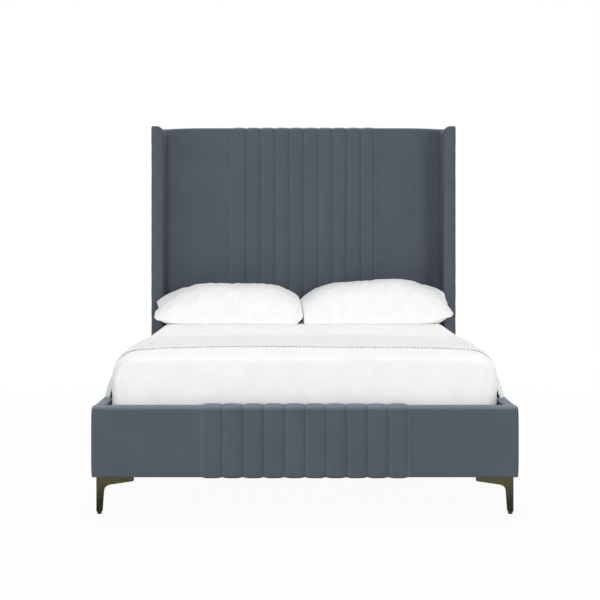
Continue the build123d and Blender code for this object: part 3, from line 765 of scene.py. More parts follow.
# Upholstery
class BED_OT_footboard(bpy.types.Operator):
    """Covers the footboard in velvet, with channels over its middle"""

    bl_idname = "bed.footboard"
    bl_label = "Footboard"

    def execute(self, context):
        sizes = context.scene.bed_upholstery
        board_low, board_high = corners("footboard_board")
        low = board_low - (FACE_FOAM, FACE_FOAM, 0)
        high = board_high + (FACE_FOAM, LIP_FOAM, FACE_FOAM)
        lip_bottom = high[2] - LIP_DEPTH
        rail_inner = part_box("side_rail_pad_right")[0].x
        half = sizes.channel_count * sizes.channel_width / 2
        depth_lines = lines_between(low[1], high[1], PLAIN_STEP / 2, FOOT_TOP_RADIUS, REAR_EDGE_RADIUS)
        height_lines = lines_between(low[2], high[2], PLAIN_STEP / 1.5, FOOT_BOTTOM_RADIUS, FOOT_TOP_RADIUS)
        lines = [
            channel_lines(low[0], high[0], half, sizes.channel_width, PLAIN_STEP),
            places(depth_lines, [board_low[1], board_high[1]]),
            places(height_lines, [lip_bottom]),
        ]

        def keep(axis, side, x, y, z):
            if axis == 1 and side:
                return (z > lip_bottom) & (np.abs(x) < rail_inner)
            if axis == 2 and side:
                return (y < board_high[1]) | (np.abs(x) < rail_inner)
            return y < (board_low if axis else board_high)[1]

        points, faces = box_skin(lines, keep)
        before = points.copy()
        for side in (0, 1):
            round_edge(points, low, high, (0, side), (1, 0), CORNER_RADIUS)
            round_edge(points, low, high, (0, side), (2, 1), CORNER_RADIUS)
        round_edge(points, low, high, (1, 0), (2, 1), FOOT_TOP_RADIUS)
        round_edge(points, low, high, (1, 0), (2, 0), FOOT_BOTTOM_RADIUS)
        round_edge(points, low, high, (1, 1), (2, 1), REAR_EDGE_RADIUS)
        normals = outward(points, faces)
        forward, upward = np.clip(-normals[:, 1], 0, 1), np.abs(normals[:, 2])
        on_ends = np.abs(before[:, 0]) > high[0] - 1e-6
        rise = channel_rise(before[:, 0], before[:, 2], sizes)
        in_middle = np.abs(before[:, 0]) < half + CHANNEL_FADE
        height = (before[:, 2] - low[2]) / (high[2] - low[2])
        swell = FACE_SWELL * (1 - (2 * height - 1) ** 4)
        wrinkle = 0.7 * MM * ripple(before, 0.22, 3) + 0.35 * MM * ripple(before, 0.07, 4)
        sink = np.where(normals[:, 2] > 0, FOOT_TOP_SINK, FOOT_BOTTOM_SINK)
        proud = rise + top_stitch_groove(before[:, 0], half) + np.where(in_middle, 0, swell + wrinkle)
        points[:, 1] -= forward * proud
        points[:, 2] += np.sign(normals[:, 2]) * upward * np.maximum(rise - sink, 0)
        points[:, 0] += on_ends * np.sign(before[:, 0]) * (swell - EDGE_PULL)
        shell = closed(points, np.clip(points, board_low, board_high), faces)
        velvet_cover("footboard_velvet", *shell, "footboard_pad")
        on_face = (forward > 0.05) & (before[:, 1] < low[1] + 1e-6)
        top_stitching("footboard", points, normals, on_face, half)
        return {"FINISHED"}


class BED_OT_side_rails(bpy.types.Operator):
    """Covers both side rails in plain velvet"""

    bl_idname = "bed.side_rails"
    bl_label = "Side rails"

    def execute(self, context):
        board_low, board_high = corners("side_rail_board_right")
        low = board_low - (LIP_FOAM, 0, 0)
        high = board_high + (FACE_FOAM, 0, FACE_FOAM)
        lip_bottom = high[2] - LIP_DEPTH
        lines = [
            lines_between(low[0], high[0], PLAIN_STEP / 2, REAR_EDGE_RADIUS, RAIL_EDGE_RADIUS),
            lines_between(low[1], high[1], PLAIN_STEP, JOINT_RADIUS, JOINT_RADIUS),
            places(lines_between(low[2], high[2], PLAIN_STEP, JOINT_RADIUS, RAIL_EDGE_RADIUS), [lip_bottom]),
        ]

        def keep(axis, side, x, y, z):
            if axis == 0 and side == 0:
                return z > lip_bottom
            return (axis == 0) or (axis == 2 and side == 1)

        points, faces = box_skin(lines, keep)
        before = points.copy()
        round_edge(points, low, high, (0, 1), (2, 1), RAIL_EDGE_RADIUS)
        round_edge(points, low, high, (0, 0), (2, 1), REAR_EDGE_RADIUS)
        normals = outward(points, faces)
        height = (before[:, 2] - low[2]) / (high[2] - low[2])
        ends = smooth(np.minimum(before[:, 1] - low[1], high[1] - before[:, 1]), -1 * MM, 9 * MM)
        swell = FACE_SWELL * (1 - (2 * height - 1) ** 4) - EDGE_PULL
        wrinkle = 0.7 * MM * ripple(before, 0.3, 5) + 0.3 * MM * ripple(before, 0.09, 6)
        outside = np.clip(normals[:, 0], 0, 1)
        points += normals * (outside * (swell + wrinkle) - (1 - ends) * JOINT_RADIUS)[:, None]
        points[:, 2] = np.minimum(points[:, 2], high[2])
        shell = closed(points, np.clip(points, board_low, board_high), faces)
        velvet_pair("side_rail_velvet", *shell, "side_rail_pad")
        return {"FINISHED"}


class BED_OT_wings(bpy.types.Operator):
    """Covers both wings in plain velvet, with a rounded inner corner at the top and a welt along it"""

    bl_idname = "bed.wings"
    bl_label = "Wings"

    def execute(self, context):
        board_low, board_high = corners("wing_board_right")
        rail_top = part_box("side_rail_pad_right")[1].z
        panel_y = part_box("headboard_panel")[0].y
        low = board_low - (WING_INNER_FOAM, WING_FRONT_FOAM, 0)
        high = board_high + (FACE_FOAM, BACK_TURN, WING_FRONT_FOAM)
        lip_bottom = rail_top - LIP_DEPTH
        extra = ([board_low[0], board_high[0]], [board_low[1], panel_y], [lip_bottom, rail_top, board_high[2]])
        edges = ((WING_INNER_RADIUS, WING_OUTER_RADIUS), (CORNER_RADIUS, JOINT_RADIUS), (0, WING_INNER_RADIUS))
        lines = [
            places(lines_between(low[axis], high[axis], PLAIN_STEP / 1.5, *edges[axis]), extra[axis])
            for axis in range(3)
        ]

        def keep(axis, side, x, y, z):
            above_rail = (y > board_low[1]) | (z > rail_top)
            if axis == 0:
                return above_rail if side else above_rail & (y < panel_y) & (z > lip_bottom)
            if axis == 1 and side == 0:
                return z > rail_top
            if axis == 1:
                return (x > board_high[0]) | ((z > board_high[2]) & (x > board_low[0]))
            return (x > board_low[0]) | (y < panel_y) if side else np.zeros(len(x), bool)

        points, faces = box_skin(lines, keep)
        before = points.copy()
        round_edge(points, low, high, (0, 0), (2, 1), WING_INNER_RADIUS)
        round_edge(points, low, high, (0, 1), (2, 1), WING_OUTER_RADIUS)
        round_edge(points, low, high, (1, 0), (2, 1), CORNER_RADIUS)
        for side in (0, 1):
            round_edge(points, low, high, (0, side), (1, 0), CORNER_RADIUS)
        round_edge(points, low, high, (0, 1), (1, 1), JOINT_RADIUS)
        normals = outward(points, faces)
        across = (before[:, 0] - low[0]) / (high[0] - low[0])
        crown = WING_CROWN * (1 - (2 * across - 1) ** 4) * np.clip(-normals[:, 1], 0, 1)
        wrinkle = 0.4 * MM * ripple(before, 0.26, 7) + 0.3 * MM * ripple(before, 0.08, 8)
        off_seam = before[:, 1] - low[1] - WING_SEAM_PLACE
        seam = WING_SEAM_DEPTH * np.exp(-((off_seam / WING_SEAM_REACH) ** 2)) * np.abs(normals[:, 0])
        points += normals * (crown + wrinkle - seam)[:, None]
        points[:, 0] = np.minimum(points[:, 0], high[0] + 1 * MM)
        shell = closed(points, np.clip(points, board_low, board_high), faces)
        velvet_pair("wing_velvet", *shell, "wing_pad")

        turn = np.linspace(0, math.pi / 2, 12)
        inset = WELT_RADIUS * 0.8
        arc_x = low[0] + WING_INNER_RADIUS - (WING_INNER_RADIUS - inset) * np.cos(turn)
        arc_z = high[2] - WING_INNER_RADIUS + (WING_INNER_RADIUS - inset) * np.sin(turn)
        rise = np.linspace(rail_top + 0.03, arc_z[0], 60)[:-1]
        path_x = np.concatenate([np.full(len(rise), arc_x[0]), arc_x, [high[0] - WING_OUTER_RADIUS]])
        path_z = np.concatenate([rise, arc_z, arc_z[-1:]])
        path = np.stack([path_x, np.full(len(path_x), low[1] + inset), path_z], axis=1)
        for side, mirror in (("right", 1), ("left", -1)):
            welt(f"wing_welt_{side}", path * (mirror, 1, 1), (0, 1, 0), WELT_RADIUS, velvet_material())
        return {"FINISHED"}


class BED_OT_headboard(bpy.types.Operator):
    """Covers the headboard in velvet, with channels that run up and over its top"""

    bl_idname = "bed.headboard"
    bl_label = "Headboard"

    def execute(self, context):
        sizes = context.scene.bed_upholstery
        board_low, _ = corners("headboard_panel")
        _, board_high = corners("headboard_top_rail")
        board_high[0] = -board_low[0]
        wing_inner = board_high[0] - WING_INNER_FOAM
        back_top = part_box("headboard_back_cover")[1].z
        low = board_low - (0, HEAD_FOAM, 0)
        high = board_high + (0, BACK_TURN, FACE_FOAM)
        half = sizes.channel_count * sizes.channel_width / 2
        width_lines = channel_lines(low[0], high[0], half, sizes.channel_width, PLAIN_STEP)
        depth_lines = lines_between(low[1], high[1], PLAIN_STEP, HEAD_EDGE_RADIUS, REAR_EDGE_RADIUS)
        height_lines = lines_between(low[2], high[2], PLAIN_STEP * 0.8, 0, HEAD_EDGE_RADIUS)
        lines = [
            places(width_lines, [-wing_inner, wing_inner]),
            places(depth_lines, [board_low[1]]),
            places(height_lines, [back_top, back_top - WING_INNER_RADIUS]),
        ]

        def keep(axis, side, x, y, z):
            if axis == 1:
                return z > back_top if side else (np.abs(x) < wing_inner) | (z > back_top - WING_INNER_RADIUS)
            return np.full(len(x), axis == 2 and side == 1)

        points, faces = box_skin(lines, keep)
        before = points.copy()
        round_edge(points, low, high, (1, 0), (2, 1), HEAD_EDGE_RADIUS)
        round_edge(points, low, high, (1, 1), (2, 1), REAR_EDGE_RADIUS)
        normals = outward(points, faces)
        past = np.clip(np.abs(before[:, 0]) - (wing_inner - SHOULDER_RUN), 0, SHOULDER_RUN) / SHOULDER_RUN
        drop = SHOULDER_DROP * past**2 * smooth(before[:, 2], high[2] - 0.12, high[2] - 0.02)
        behind = before[:, 1] > board_high[1]
        drop *= np.where(behind, smooth(before[:, 2], back_top, high[2]), 1)
        forward, upward = np.clip(-normals[:, 1], 0, 1), np.clip(normals[:, 2], 0, 1)
        rise = channel_rise(before[:, 0], before[:, 2], sizes)
        in_middle = np.abs(before[:, 0]) < half + CHANNEL_FADE
        wrinkle = 0.9 * MM * ripple(before, 0.35, 9) + 0.35 * MM * ripple(before, 0.09, 10)
        proud = rise + top_stitch_groove(before[:, 0], half) + np.where(in_middle, 0, wrinkle)
        points[:, 1] -= forward * proud
        points[:, 2] += upward * np.maximum(rise - HEAD_TOP_SINK, 0) - drop
        shell = closed(points, np.clip(points, board_low, board_high), faces)
        velvet_cover("headboard_velvet", *shell, "headboard_pad")
        on_face = (forward > 0.05) & (before[:, 1] < low[1] + 1e-6)
        top_stitching("headboard", points, normals, on_face, half)
        return {"FINISHED"}


class BED_OT_frame_finishes(bpy.types.Operator):
    """Finishes the timber, the steel, the back cloth and the legs"""

    bl_idname = "bed.frame_finishes"
    bl_label = "Frame finishes"

    def execute(self, context):
        across, along, upright = 0, 1, 2
        spruce, birch = partial(planed_timber, ring_mm=7), partial(planed_timber, ring_mm=14)
        slat = spruce("spruce_planed_across", across, "#e2c08c", "#b98a50")
        dress(slat, "slat_0", "slat_1", "headboard_top_rail", "headboard_bottom_rail", "headboard_cross")
        dress(spruce("spruce_planed_lengthways", along, "#dfbc88", "#b5864c"), "slat_ledger", "centre_beam")
        post = spruce("spruce_planed_upright", upright, "#dfbb86", "#b3844b")
        dress(post, "headboard_stile", "headboard_centre", "support_leg")
        dress(birch("birch_plywood_across", across, "#dcbf94", "#c19b68"), "footboard_board")
        dress(birch("birch_plywood_lengthways", along, "#d9bb90", "#bd9764"), "side_rail_board")
        dress(birch("birch_plywood_upright", upright, "#d9bb90", "#bd9764"), "wing_board", "headboard_panel")
        steel = zinc_plated_steel("mild_steel_zinc_plated")
        dress(steel, "beam_hanger", "corner_bracket", "joint_plate", "frame_bolts", "wing_bolts", "leg_screws")
        leg_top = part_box("leg_front_right")[1].z
        bronze = antique_bronze("zinc_alloy_bronze_plated", "#4a4934", "#232219", leg_top)
        dress(bronze, "leg_front", "leg_rear")
        dress(moulded_plastic("polypropylene_moulded", "#1b1b1a", "#3a3a38"), "leg_glides", "levelling_foot")
        dress(spunbond_cloth("polypropylene_spunbond"), "headboard_back_cover")
        return {"FINISHED"}


# Bedding
class BED_OT_mattress(bpy.types.Operator):
    """Puts the mattress in its fitted sheet"""

    bl_idname = "bed.mattress"
    bl_label = "Mattress"

    def execute(self, context):
        low, high = corners("mattress")
        side_radius, end_radius, corner_radius, bottom_radius = 65 * MM, 30 * MM, 40 * MM, 18 * MM
        lines = [
            lines_between(low[0], high[0], 24 * MM, side_radius, side_radius),
            lines_between(low[1], high[1], 24 * MM, corner_radius, corner_radius),
            lines_between(low[2], high[2], 16 * MM, bottom_radius, side_radius),
        ]
        points, faces = box_skin(lines, lambda axis, side, x, y, z: True)
        for side in (0, 1):
            round_edge(points, low, high, (0, side), (2, 1), side_radius)
            round_edge(points, low, high, (1, side), (2, 1), end_radius)
            round_edge(points, low, high, (0, side), (2, 0), bottom_radius)
            round_edge(points, low, high, (1, side), (2, 0), bottom_radius)
            for end in (0, 1):
                round_edge(points, low, high, (0, side), (1, end), corner_radius)
        normals = outward(points, faces)
        gathers = 1.2 * MM * np.sin((points[:, 0] + points[:, 1]) / (11 * MM))
        gathers *= 1 - smooth(points[:, 2], low[2], low[2] + 0.09)
        depth = 2 * MM + 0.8 * MM * ripple(points, 0.25, 11) + gathers * (1 - np.abs(normals[:, 2]))
        points -= normals * np.clip(depth, 0, None)[:, None]
        cotton = percale_material()
        made = piece("mattress_in_sheet", points, faces, cotton, "mattress", "mattress_cover", ["mattress"])
        return {"FINISHED"}


# Folds at the duvet's foot corners, left and then right, as (x, z) of their ends on the foot face and a share
# of the fold's depth
FOLDS = (
    ((-0.643, 0.585), (-0.725, 0.420), 1.0),
    ((-0.662, 0.585), (-0.742, 0.420), -1.1),
    ((-0.612, 0.575), (-0.671, 0.450), -0.6),
    ((-0.733, 0.590), (-0.733, 0.450), -0.8),
    ((0.728, 0.595), (0.730, 0.450), 0.9),
    ((0.712, 0.590), (0.716, 0.450), -0.9),
    ((0.691, 0.575), (0.660, 0.440), -0.8),
    ((0.672, 0.575), (0.640, 0.440), 0.6),
)
FOLD_WIDTH = 11 * MM


def fold_relief(x, z, fold):
    """How far a fold lifts the cloth at each point: a soft ridge along the line between its ends."""
    (x0, z0), (x1, z1), share = fold
    run = np.array([x1 - x0, z1 - z0])
    along = ((x - x0) * run[0] + (z - z0) * run[1]) / (run @ run)
    nearest = np.clip(along, 0, 1)
    away = np.hypot(x - x0 - nearest * run[0], z - z0 - nearest * run[1])
    ridge = share * np.exp(-((away / FOLD_WIDTH) ** 2))
    return ridge * smooth(along, -0.15, 0.3) * (1 - smooth(along, 0.8, 1.15))


def loft(x, y):
    """How far the duvet, with the throw on it, swells above its flat top."""
    place = np.stack([x, y, np.zeros_like(x)], axis=1)
    along = smooth(y, -1.02, -0.84) * (1 - smooth(y, -0.25, 0.42))
    crest = 5 * MM * np.exp(-(((y + 0.83) / 0.14) ** 2))
    across = np.clip(1 - (np.abs(x) / 0.7) ** 5, 0, 1)
    return (DUVET_LOFT + crest + 2.5 * MM * ripple(place, 0.5, 17)) * across * along


class BED_OT_duvet(bpy.types.Operator):
    """Lays the duvet over the mattress and lets its cover wrinkle"""

    bl_idname = "bed.duvet"
    bl_label = "Duvet"

    def execute(self, context):
        bedding = context.scene.bed_bedding
        low, high = corners("duvet")
        throw_low, throw_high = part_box("throw")
        lines = [
            lines_between(low[0], high[0], SOFT_STEP, SHOULDER, SHOULDER),
            lines_between(low[1], high[1], SOFT_STEP, DUVET_CORNER, 0),
            lines_between(low[2], high[2], SOFT_STEP, 0, SHOULDER),
        ]

        def keep(axis, side, x, y, z):
            return axis == 0 or (axis, side) in ((1, 0), (2, 1))

        points, faces = box_skin(lines, keep)
        before = points.copy()
        for side in (0, 1):
            round_edge(points, low, high, (0, side), (2, 1), SHOULDER)
        round_edge(points, low, high, (1, 0), (2, 1), DUVET_FOOT_RADIUS)
        for side in (0, 1):
            round_edge(points, low, high, (0, side), (1, 0), DUVET_CORNER)
        normals = outward(points, faces)

        # The folds of the foot face, the taper towards the foot, the corner tucked in at the right, and the
        # droop of the top before the throw
        foot = np.clip(-normals[:, 1], 0, 1)
        relief = sum(fold_relief(before[:, 0], before[:, 2], fold) for fold in FOLDS)
        points += normals * (foot * (relief - 0.4) * bedding.duvet_fold)[:, None]
        near_foot = 1 - smooth(before[:, 1], low[1], throw_low.y - 0.02)
        points[:, 0] *= 1 - 0.013 * near_foot
        tucked = (1 - smooth(before[:, 2], 0.39, 0.49)) * near_foot * (points[:, 0] > 0)
        points[:, 0] -= 0.02 * tucked * smooth(before[:, 0], 0.5, 0.72)
        corner_droop = 12 * MM * smooth(np.abs(before[:, 0]), 0.5, 0.75) * near_foot
        points[:, 2] -= (before[:, 2] > high[2] - SHOULDER) * (corner_droop + 9 * MM * near_foot**2)
        points[:, 2] += loft(before[:, 0], before[:, 1])

        # The cover wrinkles where nothing lies on it, and stays smooth under the throw and the pillows
        ready = points - normals * 0.3 * MM
        points -= normals * DUVET_SLUMP
        hold = 0.15 + 0.85 * (1 - smooth(points[:, 2], low[2], low[2] + 0.05))
        hold = np.maximum(hold, smooth(points[:, 1], high[1] - 0.05, high[1]))
        rough = points + normals * (1.2 * MM * ripple(points, 0.06, 12))[:, None]
        ended = settled(rough, faces, 18, hold, shrink_min=-bedding.duvet_slack, **DUVET_CLOTH)
        points = capped(points, ended, DUVET_WRINKLE)
        pillow_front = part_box("pillow_left")[0].y
        behind_hem = smooth(points[:, 1], throw_low.y - 0.07, throw_low.y - 0.012)
        covered = behind_hem * (1 - smooth(points[:, 1], throw_high.y + 0.012, throw_high.y + 0.07))
        covered = np.maximum(covered, smooth(points[:, 1], pillow_front - 0.06, pillow_front))
        points += (ready - points) * covered[:, None]
        ceiling = high[2] - 0.2 * MM + 6 * MM * (1 - covered) + loft(points[:, 0], points[:, 1])
        points[:, 2] = np.minimum(points[:, 2], ceiling)
        shell = closed(points, points - outward(points, faces) * DUVET_SHELL, faces)
        cotton = percale_material()
        made = piece("duvet_cover", *shell, cotton, "duvet", "duvet_cotton", ["duvet"], crease_degrees=80)
        made.modifiers.new("Subdivision", "SUBSURF").render_levels = 1
        return {"FINISHED"}


class BED_OT_throw(bpy.types.Operator):
    """Lays the ribbed throw across the duvet, down to the tops of the side rails"""

    bl_idname = "bed.throw"
    bl_label = "Throw"

    def execute(self, context):
        bedding = context.scene.bed_bedding
        low, high = corners("throw")
        low[1] += FRONT_HEM_BACK
        duvet_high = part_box("duvet")[1]
        rail_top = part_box("side_rail_pad_right")[1].z
        centre_x, centre_z = duvet_high.x - SHOULDER, duvet_high.z - SHOULDER
        radius = SHOULDER + THROW_GAP
        hem = np.array([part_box("side_rail_board_right")[1].x, rail_top + THROW_GAP])
        run = hem - (centre_x, centre_z)
        turn = math.atan2(run[1], run[0]) + math.acos(radius / np.linalg.norm(run))
        arc = radius * (math.pi / 2 - turn)
        fall = math.sqrt(run @ run - radius**2)
        half = centre_x + arc + fall

        def place(travel):
            """Where the throw's underside lies at a distance from the middle, and which way is out."""
            side, travel = np.sign(travel), np.abs(travel)
            angle = math.pi / 2 - np.clip((travel - centre_x) / arc, 0, 1) * (math.pi / 2 - turn)
            down = np.clip(travel - centre_x - arc, 0, None)
            out = np.stack([np.cos(angle), np.sin(angle)], axis=1)
            x = np.minimum(travel, centre_x) + radius * out[:, 0] + down * math.sin(turn)
            z = centre_z + radius * out[:, 1] - down * math.cos(turn)
            return x * side, z, out[:, 0] * side, out[:, 1], down / fall

        ribs = int(half / bedding.rib_pitch)
        pitch = half / ribs
        travel = np.linspace(-half, half, 2 * ribs * 8 + 1)
        hem_lines = np.array([0, 0.6, 1.8, 4, 7, 10, 13]) * MM
        width = high[1] - low[1]
        rows = places(hem_lines, np.arange(18 * MM, width - 17 * MM, 9 * MM), width - hem_lines)
        s, v = (grid.ravel() for grid in np.meshgrid(travel, rows, indexing="ij"))
        nought = np.zeros_like(s)
        x, z, out_x, out_z, hanging = place(s)
        rib = 0.5 + 0.5 * np.cos(math.tau * s / pitch)
        edge = np.minimum(v, width - v)
        rounding = np.sqrt(np.clip(1 - (1 - np.clip(edge / HEM_ROUNDING, 0, 1)) ** 2, 0, 1))

        # The hems wander and are scalloped between the ribs
        along = np.stack([s, nought, nought], axis=1)
        drift = 6 * MM * ripple(along, 0.5, 13) + 2 * MM * ripple(along, 0.12, 14)
        scallop = 2.2 * MM * (0.5 - rib) * (1 - smooth(edge, 0, HEM_SCALLOPS))
        y = low[1] + v + np.clip(drift, -0.012, 0.012) + np.where(v < width / 2, scallop, -scallop)

        # The ends hang in slight waves, and their hems curl in where there is room behind them
        flat = np.stack([s, v, nought], axis=1)
        sway = 5 * MM * np.sin(2 * math.tau * v / width + 0.6) + 3 * MM * ripple(flat, 0.2, 15)
        wave = hanging**1.5 * sway * (1 - 0.9 * smooth(hanging, 0.6, 1))
        loose = smooth(edge, 0.01, 0.06)
        lift = np.clip(wave, -4 * MM, None) + 1.5 * MM * loose * (1 + ripple(flat, 0.16, 16)) * (1 - hanging)
        room = np.hypot(radius, hanging * fall) - radius
        curl = np.minimum(0.7 * room, HEM_CURL_DEPTH) * (1 - smooth(edge, 0, HEM_CURL))
        height = z + out_z * (np.clip(lift, 0, None) - curl) + loft(x, y)
        under = np.stack([x + out_x * (lift - curl), y, height], axis=1)
        thick = (THROW_THICKNESS - bedding.rib_height) * (0.35 + 0.65 * rounding)
        thick += bedding.rib_height * rib**0.7 * rounding
        over = under + np.stack([out_x, nought, out_z], axis=1) * thick[:, None]
        shell = closed(over, under, grid_faces(len(travel), len(rows)))
        knit = wool_knit("lambswool_rib_knitted", "#f8f9f7", "#eff1ef")
        made = piece("knitted_throw", *shell, knit, "throw", "throw_knit", ["throw"], crease_degrees=180)

        # Loops of grey yarn, darker than the throw, along its front and rear hems
        yarn = wool_knit("lambswool_yarn_spun", "#d3d8d5", "#adb4b1")
        loop = {"pitch": pitch, "length": 0.8 * pitch, "radius": 3.6 * MM}
        grid = ((over + under) / 2).reshape(len(travel), len(rows), 3)
        for end, row, facing in (("front", 0, -1), ("rear", -1, 1)):
            path = grid[:, row] + (0, facing * 0.5 * MM, 0)
            sewn = np.tile((0.0, float(facing), 0.0), (len(path), 1))
            stitches(f"throw_edging_{end}", path, sewn, yarn, **loop, body="throw", slot="throw_knit")
        return {"FINISHED"}


# Each pillow's outer end from front to back, as y, the distance from the bed's middle and the height of its
# seam; the place along x where the two pillows meet; the crest's height and its rise towards the outer end
PILLOW_ENDS = {
    "left": (
        (0.525, 0.757, 0.632),
        (0.560, 0.777, 0.645),
        (0.630, 0.779, 0.668),
        (0.700, 0.768, 0.681),
        (0.787, 0.790, 0.712),
        (0.825, 0.752, 0.715),
        (1.000, 0.742, 0.700),
    ),
    "right": (
        (0.525, 0.757, 0.646),
        (0.560, 0.774, 0.656),
        (0.600, 0.781, 0.662),
        (0.700, 0.765, 0.700),
        (0.795, 0.757, 0.757),
        (0.825, 0.752, 0.758),
        (1.000, 0.742, 0.740),
    ),
}
PILLOWS_MEET = -0.016
PILLOW_CRESTS = {"left": 0.809, "right": 0.825}
PILLOW_TILTS = {"left": 0, "right": 0.025}
PILLOW_COLUMNS, PILLOW_ROWS = 76, 50


def held_back(value, limit, softness):
    """A value kept under a limit, with a soft bend before it."""
    return limit - softness * np.logaddexp(0, (limit - value) / softness)


def pillow_form(side, box_low, box_high):
    """A plump pillow whose edges are drawn in between its corners: its points and faces."""
    sign = 1 if side == "right" else -1
    rim = np.array([0, 0.007, 0.02, 0.04])
    u, v = np.meshgrid(
        *(
            np.concatenate([-1 + rim, np.linspace(-0.93, 0.93, count - 6), 1 - rim[::-1]])
            for count in (PILLOW_COLUMNS, PILLOW_ROWS)
        ),
        indexing="ij",
    )
    end_y, end_x, end_z = np.array(PILLOW_ENDS[side]).T
    y_middle, y_half = (box_low[1] + box_high[1]) / 2, (box_high[1] - box_low[1]) / 2
    y = y_middle + y_half * v * (1 - 0.03 * (1 - u**2) * np.abs(v) ** 3)
    inner = PILLOWS_MEET * sign - 0.037
    outer = np.interp(y, end_y, end_x)
    x = (outer + inner) / 2 + (outer - inner) / 2 * u
    seam = box_low[2] + 2 * MM + 0.03 * (v + 1)
    seam = seam + (np.interp(y, end_y, end_z) - seam) * smooth(u, 0.45, 1)
    height = PILLOW_CRESTS[side] + PILLOW_TILTS[side] * u - 0.02 * (v - 0.2) ** 2
    closing = (1 - u**4) ** np.where(u > 0, 1.05, 0.7) * (1 - np.abs(v) ** 2.6) ** 0.6
    top = seam + (height - seam) * closing
    bottom = seam - 0.11 * closing
    place = np.stack([x, y, top], axis=-1).reshape(-1, 3)
    corner_pull = 0
    for corner_u, corner_v in ((-1, -1), (-1, 1), (1, -1), (1, 1)):
        du, dv = (u - corner_u) * 0.385, (v - corner_v) * 0.24
        away, angle = np.hypot(du, dv), np.arctan2(np.abs(dv), np.abs(du))
        near = np.exp(-(((away - 0.09) / 0.06) ** 2))
        corner_pull = corner_pull + np.cos(angle * 13 + corner_u + 2 * corner_v) * near
    top = top + closing * (0.003 * corner_pull + 0.003 * ripple(place, 0.3, ord(side[0])).reshape(u.shape))
    edge = ((np.abs(u) == 1) | (np.abs(v) == 1)).ravel()
    upper, lower = (np.stack([x * sign, y, level], axis=-1).reshape(-1, 3) for level in (top, bottom))
    faces = grid_faces(*u.shape)
    lower_number = np.where(edge, np.arange(u.size), u.size + np.cumsum(~edge) - 1)
    faces = np.concatenate([faces, lower_number[faces][:, ::-1]])
    return np.concatenate([upper, lower[~edge]]), faces if sign > 0 else faces[:, ::-1]


class BED_OT_pillows(bpy.types.Operator):
    """Fills two pillows and lays them against the headboard"""

    bl_idname = "bed.pillows"
    bl_label = "Pillows"

    def execute(self, context):
        bedding = context.scene.bed_bedding
        wing_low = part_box("wing_pad_right")[0]
        middle_y = (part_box("pillow_left")[0].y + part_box("pillow_left")[1].y) / 2
        for side, sign in (("left", -1), ("right", 1)):
            node = f"pillow_{side}"
            low, high = corners(node)
            points, faces = pillow_form(side, low, high)
            rough = points + outward(points, faces) * (0.8 * MM * ripple(points, 0.05, 31))[:, None]
            hold = np.full(len(points), 0.15)
            ended = settled(rough, faces, 16, hold, shrink_min=-bedding.pillow_slack, **PILLOW_CLOTH)
            points = capped(points, ended, PILLOW_WRINKLE)
            points[:, 2] = -held_back(-points[:, 2], -low[2] - 0.2 * MM, 2 * MM)
            points[:, 1] = held_back(points[:, 1], high[1], 4 * MM)
            # The left pillow's lowest corner is tucked away from the right one
            meet = PILLOWS_MEET - 0.08 * (points[:, 1] - middle_y)
            if side == "left":
                meet -= 0.036 * (1 - smooth(points[:, 2], low[2], low[2] + 0.036))
            x = -held_back(-points[:, 0] * sign, -meet * sign - 0.3 * MM, 0.4 * MM)
            before_wing = 1 - smooth(points[:, 1], wing_low.y - 0.03, wing_low.y - 0.006)
            wall = wing_low.x - 4 * MM + 0.05 * before_wing
            points[:, 0] = held_back(x, wall, 3 * MM) * sign
            name, cotton = f"pillow_cover_{side}", percale_material()
            made = piece(name, points, faces, cotton, node, "pillow_cotton", [node], crease_degrees=180)
            made.modifiers.new("Subdivision", "SUBSURF").render_levels = 1
        return {"FINISHED"}


# Stage
def lamp(name, azimuth, elevation, softness, strength):
    """A lamp as even as daylight, at degrees to the right of the camera's side and above the floor."""
    light = bpy.data.lights.new(name, "SUN")
    light.angle = math.radians(softness)
    light.energy = strength
    made = bpy.data.objects.new(name, light)
    bpy.context.scene.collection.objects.link(made)
    turn, rise = math.radians(azimuth), math.radians(elevation)
    towards = Vector((math.sin(turn) * math.cos(rise), -math.cos(turn) * math.cos(rise), math.sin(rise)))
    made.rotation_euler = towards.to_track_quat("Z", "Y").to_euler()


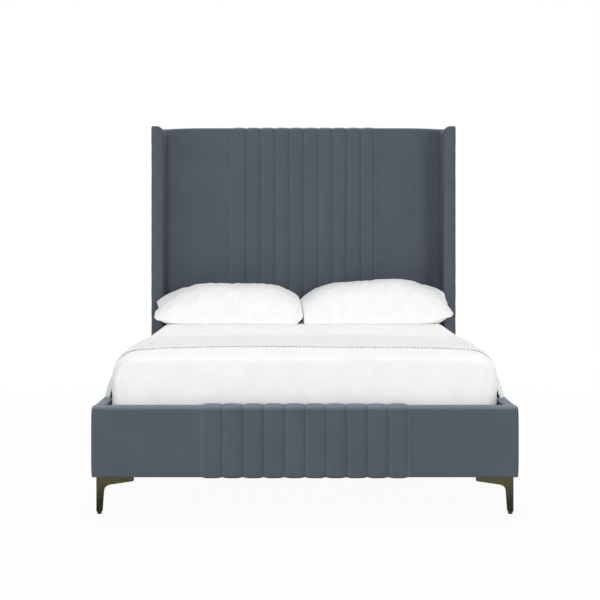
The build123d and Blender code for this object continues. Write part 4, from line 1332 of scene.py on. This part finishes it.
class BED_OT_stage(bpy.types.Operator):
    """Sets up the white floor, the soft boxes, the daylight and the camera"""

    bl_idname = "bed.stage"
    bl_label = "Stage"

    def execute(self, context):
        stage = context.scene.bed_stage
        self.lay_floor()
        self.light_room(context, stage)
        self.place_camera(context, stage)
        context.scene.view_settings.view_transform = "Standard"
        return {"FINISHED"}

    def lay_floor(self):
        """A white floor that keeps a faint shadow near the bed and is plain white further off."""
        half = 30.0
        mesh = bpy.data.meshes.new("studio_floor")
        around = [(-half, -half, 0), (half, -half, 0), (half, half, 0), (-half, half, 0)]
        mesh.from_pydata(around, [], [(0, 1, 2, 3)])
        floor = bpy.data.objects.new("studio_floor", mesh)
        bpy.context.scene.collection.objects.link(floor)
        material, add, place = new_material("studio_floor_painted")
        away = add("VectorMath", {0: place}, operation="LENGTH").outputs["Value"]
        far = add("MapRange", {0: away, 1: 1.5, 2: 3.5, 3: 0.95, 4: 1.0})
        seen = add("Math", {0: far, 1: add("LightPath", {}).outputs["Is Camera Ray"]}, operation="MULTIPLY")
        paint = add("BsdfDiffuse", {"Color": linear("#e2e2e2")})
        plain = add("Emission", {"Color": (1, 1, 1, 1), "Strength": 1.0})
        add("OutputMaterial", {0: add("MixShader", {0: seen, 1: paint, 2: plain})})
        mesh.materials.append(material)

    def light_room(self, context, stage):
        """Even daylight all round, a key from the camera's right, a broad front light and a top light."""
        world = bpy.data.worlds.new("studio")
        context.scene.world = world
        add = cleared(world)
        path = add("LightPath", {}).outputs
        seen = add("Math", {0: path["Is Camera Ray"], 1: path["Is Glossy Ray"]}, operation="MAXIMUM")
        seen = add("Math", {0: seen, 1: path["Is Transmission Ray"]}, operation="MAXIMUM")
        glow = add("Background", {"Color": linear("#fbfcff"), "Strength": stage.daylight})
        white = add("Background", {"Color": (1, 1, 1, 1), "Strength": 1.0})
        add("OutputWorld", {0: add("MixShader", {0: seen, 1: glow, 2: white})})
        lamp("key_soft_box", 24, 7, 11, stage.key)
        lamp("front_soft_box", -3, 11, 10, stage.front)
        lamp("top_soft_box", 180, 72, 40, stage.top)

    def place_camera(self, context, stage):
        """A level camera in front of the footboard, with its view shifted down."""
        footboard_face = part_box("footboard_board")[0].y - FACE_FOAM
        camera = bpy.data.objects.new("camera", bpy.data.cameras.new("camera"))
        context.scene.collection.objects.link(camera)
        camera.location = (stage.camera_side, footboard_face - stage.camera_distance, stage.camera_height)
        camera.rotation_euler = (math.radians(90), 0, 0)
        camera.data.sensor_width = 36
        camera.data.lens = stage.focal_length
        camera.data.shift_y = -stage.horizon
        camera.data.clip_end = 100
        context.scene.camera = camera


OPERATORS = (
    BED_OT_stage,
    BED_OT_frame_finishes,
    BED_OT_footboard,
    BED_OT_side_rails,
    BED_OT_wings,
    BED_OT_headboard,
    BED_OT_mattress,
    BED_OT_duvet,
    BED_OT_throw,
    BED_OT_pillows,
)


class BED_PT_panel(bpy.types.Panel):
    """Lists the bed's sizes and the steps that build it"""

    bl_idname = "BED_PT_panel"
    bl_label = "Wingback Bed"
    bl_space_type = "VIEW_3D"
    bl_region_type = "UI"
    bl_category = "Bed"

    def draw(self, context):
        for group in (context.scene.bed_upholstery, context.scene.bed_bedding, context.scene.bed_stage):
            box = self.layout.box()
            for name in group.bl_rna.properties.keys():
                if name not in ("rna_type", "name"):
                    box.prop(group, name)
        for operator in OPERATORS:
            self.layout.operator(operator.bl_idname)


CLASSES = (BedUpholstery, BedBedding, BedStage, *OPERATORS, BED_PT_panel)


def register():
    for each in CLASSES:
        bpy.utils.register_class(each)
    bpy.types.Scene.bed_upholstery = bpy.props.PointerProperty(type=BedUpholstery)
    bpy.types.Scene.bed_bedding = bpy.props.PointerProperty(type=BedBedding)
    bpy.types.Scene.bed_stage = bpy.props.PointerProperty(type=BedStage)


def unregister():
    del bpy.types.Scene.bed_stage
    del bpy.types.Scene.bed_bedding
    del bpy.types.Scene.bed_upholstery
    for each in reversed(CLASSES):
        bpy.utils.unregister_class(each)


def main():
    register()
    for operator in OPERATORS:
        group, name = operator.bl_idname.split(".")
        getattr(getattr(bpy.ops, group), name)()


if __name__ == "__main__":
    main()
